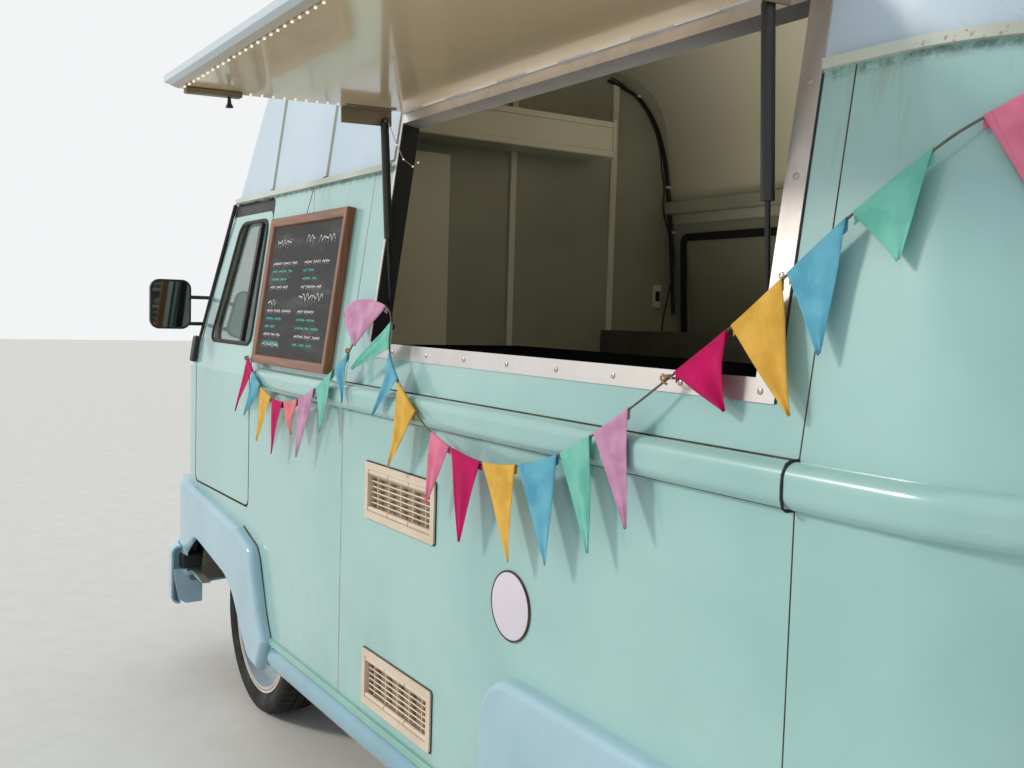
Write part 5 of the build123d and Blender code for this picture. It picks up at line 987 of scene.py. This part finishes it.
BELT_TOP, BELT_FOOT = 1276.2, 1203.8
REAR_SEAM_X, FRONT_SEAM_X = -2616, -1004
FLARE_JOINT = ((-185, 725), (-330, 684), (-356, 650), (-420, 490), (-470, 410))
BELT_SECTION = ((909, 1203.5), (926, 1204), (933, 1208), (937.5, 1222), (938.2, 1240), (937, 1258),
                (930, 1272), (921, 1276), (905, 1276.5))
REAR_FLARE_EDGE = ((-1850, 912.5, 680), (-1876, 912.5, 696), (-1925, 912.5, 704), (-2063, 912.5, 710),
                   (-2188, 912.5, 714.6), (-2420, 912.5, 721))
rear_seam = [along_side(((REAR_SEAM_X, top), (REAR_SEAM_X, foot)), -1.0, 1.7)
             for top, foot in ((1842, 1278), (1202, 760))]
front_seam = [along_side(((FRONT_SEAM_X, top), (FRONT_SEAM_X, foot)), -1.2, 3)
              for top, foot in ((1838, 1278), (1202, 420))]
belt_lines = [along_side(((-1010, z), (-2612, z)), 0.6, 1.2) for z in (BELT_TOP, BELT_FOOT)]
round_belt = np.column_stack((np.full(len(BELT_SECTION), -2615.0), BELT_SECTION))
skin("rear_seam_dirt", np.stack(rear_seam), seam_rust)
skin("front_seam_sealant", np.stack(front_seam), sealant)
skin("flare_rust_line", along_side(FLARE_JOINT, 0.6, 2.6), seam_rust)
skin("belt_dirt_lines", np.stack(belt_lines), seam_rust)
skin("belt_joint", tube(round_belt, 2.2, 10), edge_black)
skin("strip_edge_sealant", along_side(((-2556.6, 1352), (-2556.6, 1842)), 0.4, 1.6), edge_black)
skin("rear_flare_rust", tube(REAR_FLARE_EDGE, 1.5, 8), seam_rust)
print("seams", 7)

# %% [markdown]
# ## Side, pillar and bumper
#
# A rusty flange stands out under the side, and a white disc with a raised rim is fixed below the hatch.
# Rubber runs down the windscreen pillar to a plastic foot. The front bumper has a rubber buffer on the left
# and a steel plate at each end.

# %% Flange, disc, pillar and bumper
DISC_PLACE = (-1876, 910, 877)
DISC_RIM = ((0.3, 73), (3.5, 73), (4.5, 71.5), (4.5, 70), (0.4, 69.4))
DISC_FACE = ((0.4, 69.3), (3.4, 69.2), (4.2, 67), (4.4, 0.2))
PILLAR_LINE = ((205, 1842), (222, 1800), (330, 1530), (402, 1345), (424, 1262))
disc_white = enamel("enamel_white_disc", "#E2DCE8", "#DAD3E1", 0.05)
soften(skin("sill_flange", boxes((-1800, -445, 909.5, 920, 396, 416)), rust_mint), 2)
skin("side_disc_rim", turned(DISC_RIM, DISC_PLACE, (0, 1, 0), 64), seam_rust, wrap=(True, True))
skin("side_disc", turned(DISC_FACE, DISC_PLACE, (0, 1, 0), 64), disc_white)
skin("pillar_rubber", along_side(PILLAR_LINE, 1.5, 7, 10), edge_black)
soften(skin("pillar_foot", slabs((404, 446, 0.4, 20, 1252, 1352)), black_plastic), 8, 3)
soften(skin("bumper_buffer", boxes((425, 475, 868, 953, 441, 501)), black_rubber), 10, 3)
END_OUTLINE = np.array(((866, 438), (866, 302), (930, 300), (958, 318), (975, 400), (977, 440)), float)
end_plates = [[np.column_stack((np.full(6, x), hand * END_OUTLINE[:, 0], END_OUTLINE[:, 1]))
               for x in (447, 455)] for hand in (1, -1)]
# The end plates take the arches' white paint, with its painted shade.
soften(skin("bumper_end_plates", np.array(end_plates), arch_white_painted_shade), 3, 3)
print("side and bumper pieces", 7)

# %% [markdown]
# ## Vents and mirrors
#
# Behind the louvres of each vent lie a back, darkened with painted shade, and five upright ribs, and a thin
# gasket shows round its flange. A silvered glass is set in the face of each mirror.

# %% Vents and mirrors
VENTS = np.array(((-1357, 1008), (-1360, 517)), float)
MIRRORS = ((370, 1020), (452, -1020))
MIRROR_Z = 1472
GASKET = ((-1, 0.3), (-1, 1.8), (2, 1.8), (2, 0.3))
vent_outline = rounded(((-191, -74), (191, -74), (191, 74), (-191, 74)), 9)
mirror_outline = rounded(((-68, -85), (68, -85), (68, 85), (-68, 85)), 30, 8)
backs = [(x - 170, x + 170, 889.5, 891.5, z - 54, z + 54) for x, z in VENTS]
ribs = [(x + step - 1.2, x + step + 1.2, 892, 906, z - 42, z + 42) for x, z in VENTS
        for step in np.linspace(-132, 132, 5)]
gasket = np.stack([ring_tube(vent_outline + vent, GASKET)[0] for vent in VENTS])
gasket_up = np.broadcast_to(np.array(GASKET)[:, 1], gasket.shape[:3])
glasses = [[np.insert(mirror_outline + (y, MIRROR_Z), 0, x - 12.5 - depth, axis=1) for depth in (0.3, 1.6)]
           for x, y in MIRRORS]
skin("vent_backs", boxes(backs), vent_painted_shade)
skin("vent_ribs", boxes(ribs), vent_plastic)
skin("vent_gaskets", on_side(gasket[..., 0], gasket[..., 1], gasket_up), edge_black, wrap=(True, True))
skin("mirror_glasses", np.array(glasses), mirror_glass)
print("vent and mirror pieces", 4)

# %% [markdown]
# ## Inside the hatch
#
# Battens cover the joints of the front wall, and thin ledges run along the shelf. A beam runs over the load
# door, whose seal keeps the light out, and a channel hangs from the ceiling on two short legs.

# %% Battens, beam and channel
battens = boxes(((-371, -360.4, -33, -8, 1320, 2404), (-371, -360.4, -495, -468, 1320, 2370)))
ledges = boxes(((-517, -510.3, -360, 560, 2063, 2084), (-517, -510.3, -360, 560, 2170, 2191),
                (-520, -362, -371, -360.4, 2058, 2198)))
beam = boxes((-1560, -380, -778, -735, 1888, 1938))
channel = boxes(((-2480, -840, -17, 17, 2248, 2270), (-2400, -2380, -8, 8, 2270, 2400),
                 (-900, -880, -8, 8, 2270, 2400)))
door_outline = rounded(((-1334, 486), (-426, 486), (-426, 1804), (-1334, 1804)), 34)
flat, up = ring_tube(door_outline, ((-16, -31), (-16, -38), (14, -38), (14, -31)))
door_seal = on_side(flat[..., 0], flat[..., 1], up) * (1, -1, 1)
soften(skin("wall_battens", battens, shelf_cream), 2)
soften(skin("shelf_ledges", ledges, shelf_cream), 1.5)
soften(skin("right_wall_beam", beam, cabin_cream), 4)
skin("load_door_seal", door_seal, black_rubber, wrap=(True, True))
soften(skin("ceiling_channel", channel, shelf_cream), 2)
print("inside pieces", 5)

# %% [markdown]
# A second cable is clipped to the wall and bends in slack curves. Its points are joined by straight lines
# and then smoothed by a running mean of 13 steps, weighted like a bell, so that no kink is left. A short
# string of small lamps hangs from the flap's front corner, and a switch sits low on the wall.

# %% Cable, lamps and switch
CABLE = ((-388, -430, 2388), (-388, -500, 2370), (-392, -600, 2300), (-396, -660, 2215), (-398, -690, 2130),
         (-396, -700, 2050), (-390, -725, 1985), (-388, -716, 1930), (-390, -728, 1870), (-392, -775, 1780),
         (-392, -790, 1690), (-390, -770, 1590), (-388, -745, 1490), (-388, -738, 1420),
         (-388, -740, 1320))
LAMP_STRING = ((-1146, 868, 1966), (-1146, 852, 1942), (-1146, 834, 1903), (-1146, 814, 1868),
               (-1145, 786, 1852), (-1145, 770, 1864))
BEAD = ((-2.4, 0.2), (-1.6, 1.8), (0, 2.5), (1.6, 1.8), (2.4, 0.2))
steps = np.linspace(0, len(CABLE) - 1, 90)
straight = [np.interp(steps, np.arange(len(CABLE)), np.array(CABLE, float)[:, axis]) for axis in range(3)]
bell = np.hanning(13) / np.hanning(13).sum()
slack = [np.convolve(np.pad(along, 6, mode="edge"), bell, "valid") for along in straight]
skin("loose_cable", tube(np.stack(slack, -1), 3.4, 10), cable_black)
skin("lamp_wire_end", tube(LAMP_STRING, 1.1, 8), zinc_screw, "flap")
skin("lamp_wire_lamps", turned(BEAD, LAMP_STRING[2:], (0, 0, 1), 10), lamp_warm, "flap")
clips = [(-382, -367, y - 10, y + 10, z - 5, z + 5) for y, z in ((-585, 2338), (-757, 1999), (-789, 1821))]
soften(skin("cable_clips", boxes(clips), white_plastic), 1.5)
soften(skin("wall_switch", boxes((-371, -360.4, -742, -704, 1514, 1606)), white_plastic), 3)
soften(skin("wall_switch_rocker", boxes((-375, -371, -734, -712, 1540, 1580)), black_plastic), 1)
print("wall pieces", 6)

# %% [markdown]
# ## Floor and light
#
# The floor is pale and matt. The background that the camera sees is nearly white, and so is what a mirror
# or a pane sees, while the light that falls on the van from all round is softer. One broad sun stands in
# front, high on the left, so shadows fall back and down.

# %% Floor and world
floor_paint = grained("studio_floor_pale", "#E6E5E1", "#E2E1DD", 30, 0.9)
floor_mesh = bpy.data.meshes.new("studio_floor")
corners = np.array(((-40, -40, 0), (40, -40, 0), (40, 40, 0), (-40, 40, 0)), float)
floor_mesh.from_pydata(corners.tolist(), [], [(0, 1, 2, 3)])
floor_mesh.materials.append(floor_paint)
floor = bpy.data.objects.new("studio_floor", floor_mesh)
bpy.context.scene.collection.objects.link(floor)

world = bpy.data.worlds.new("pale_studio")
bpy.context.scene.world = world
world.use_nodes = True
sky = world.node_tree
sky.nodes.remove(sky.nodes["Background"])
camera_ray = add(sky, "LightPath", {}, out="Is Camera Ray")
glossy_ray = add(sky, "LightPath", {}, out="Is Glossy Ray")
glass_ray = add(sky, "LightPath", {}, out="Is Transmission Ray")
seen = add(sky, "Math", {0: camera_ray, 1: glossy_ray}, operation="MAXIMUM")
seen = add(sky, "Math", {0: seen, 1: glass_ray}, operation="MAXIMUM")
plain = add(sky, "Background", {"Color": "#F3F4F5", "Strength": 1.0})
soft = add(sky, "Background", {"Color": "#EEF2F6", "Strength": 0.7})
both = add(sky, "MixShader", {0: seen, 1: soft, 2: plain})
sky.links.new(both, sky.nodes["World Output"].inputs["Surface"])
print("world", world.name)

# %% [markdown]
# The sun's disc is 10 degrees wide, so its shadows have soft edges. Its matrix holds a direction square to
# its travel, then another, then the way back to it. A weak area lamp stands for the daylight that comes in
# through the hatch. Neither the camera nor a mirror sees it.

# %% Sun and daylight
lamp = bpy.data.lights.new("broad_sun", "SUN")
lamp.energy = 1.6
lamp.angle = math.radians(10)
lamp.color = linear("#FFF6EA")[:3]
sun = bpy.data.objects.new("broad_sun", lamp)
bpy.context.scene.collection.objects.link(sun)
travel = np.array((-0.55, -0.70, -0.46))
travel /= np.linalg.norm(travel)
side = np.cross(travel, (0, 0, 1))
side /= np.linalg.norm(side)
sun.matrix_world = Matrix(np.column_stack((side, np.cross(side, travel), -travel)).tolist()).to_4x4()
glow = bpy.data.lights.new("daylight_inside", "AREA")
glow.energy = 7
glow.spread = math.radians(110)
glow.size = 1.1
glow.color = linear("#F9F6EE")[:3]
inside = bpy.data.objects.new("daylight_inside", glow)
bpy.context.scene.collection.objects.link(inside)
inside.visible_camera = False
inside.visible_glossy = False
upward = Matrix.Rotation(math.radians(-146), 4, "X")
inside.matrix_world = Matrix.Translation(place((-1750, 420, 1440))) @ upward
bpy.context.scene.view_settings.view_transform = "Standard"
print("lights 2")
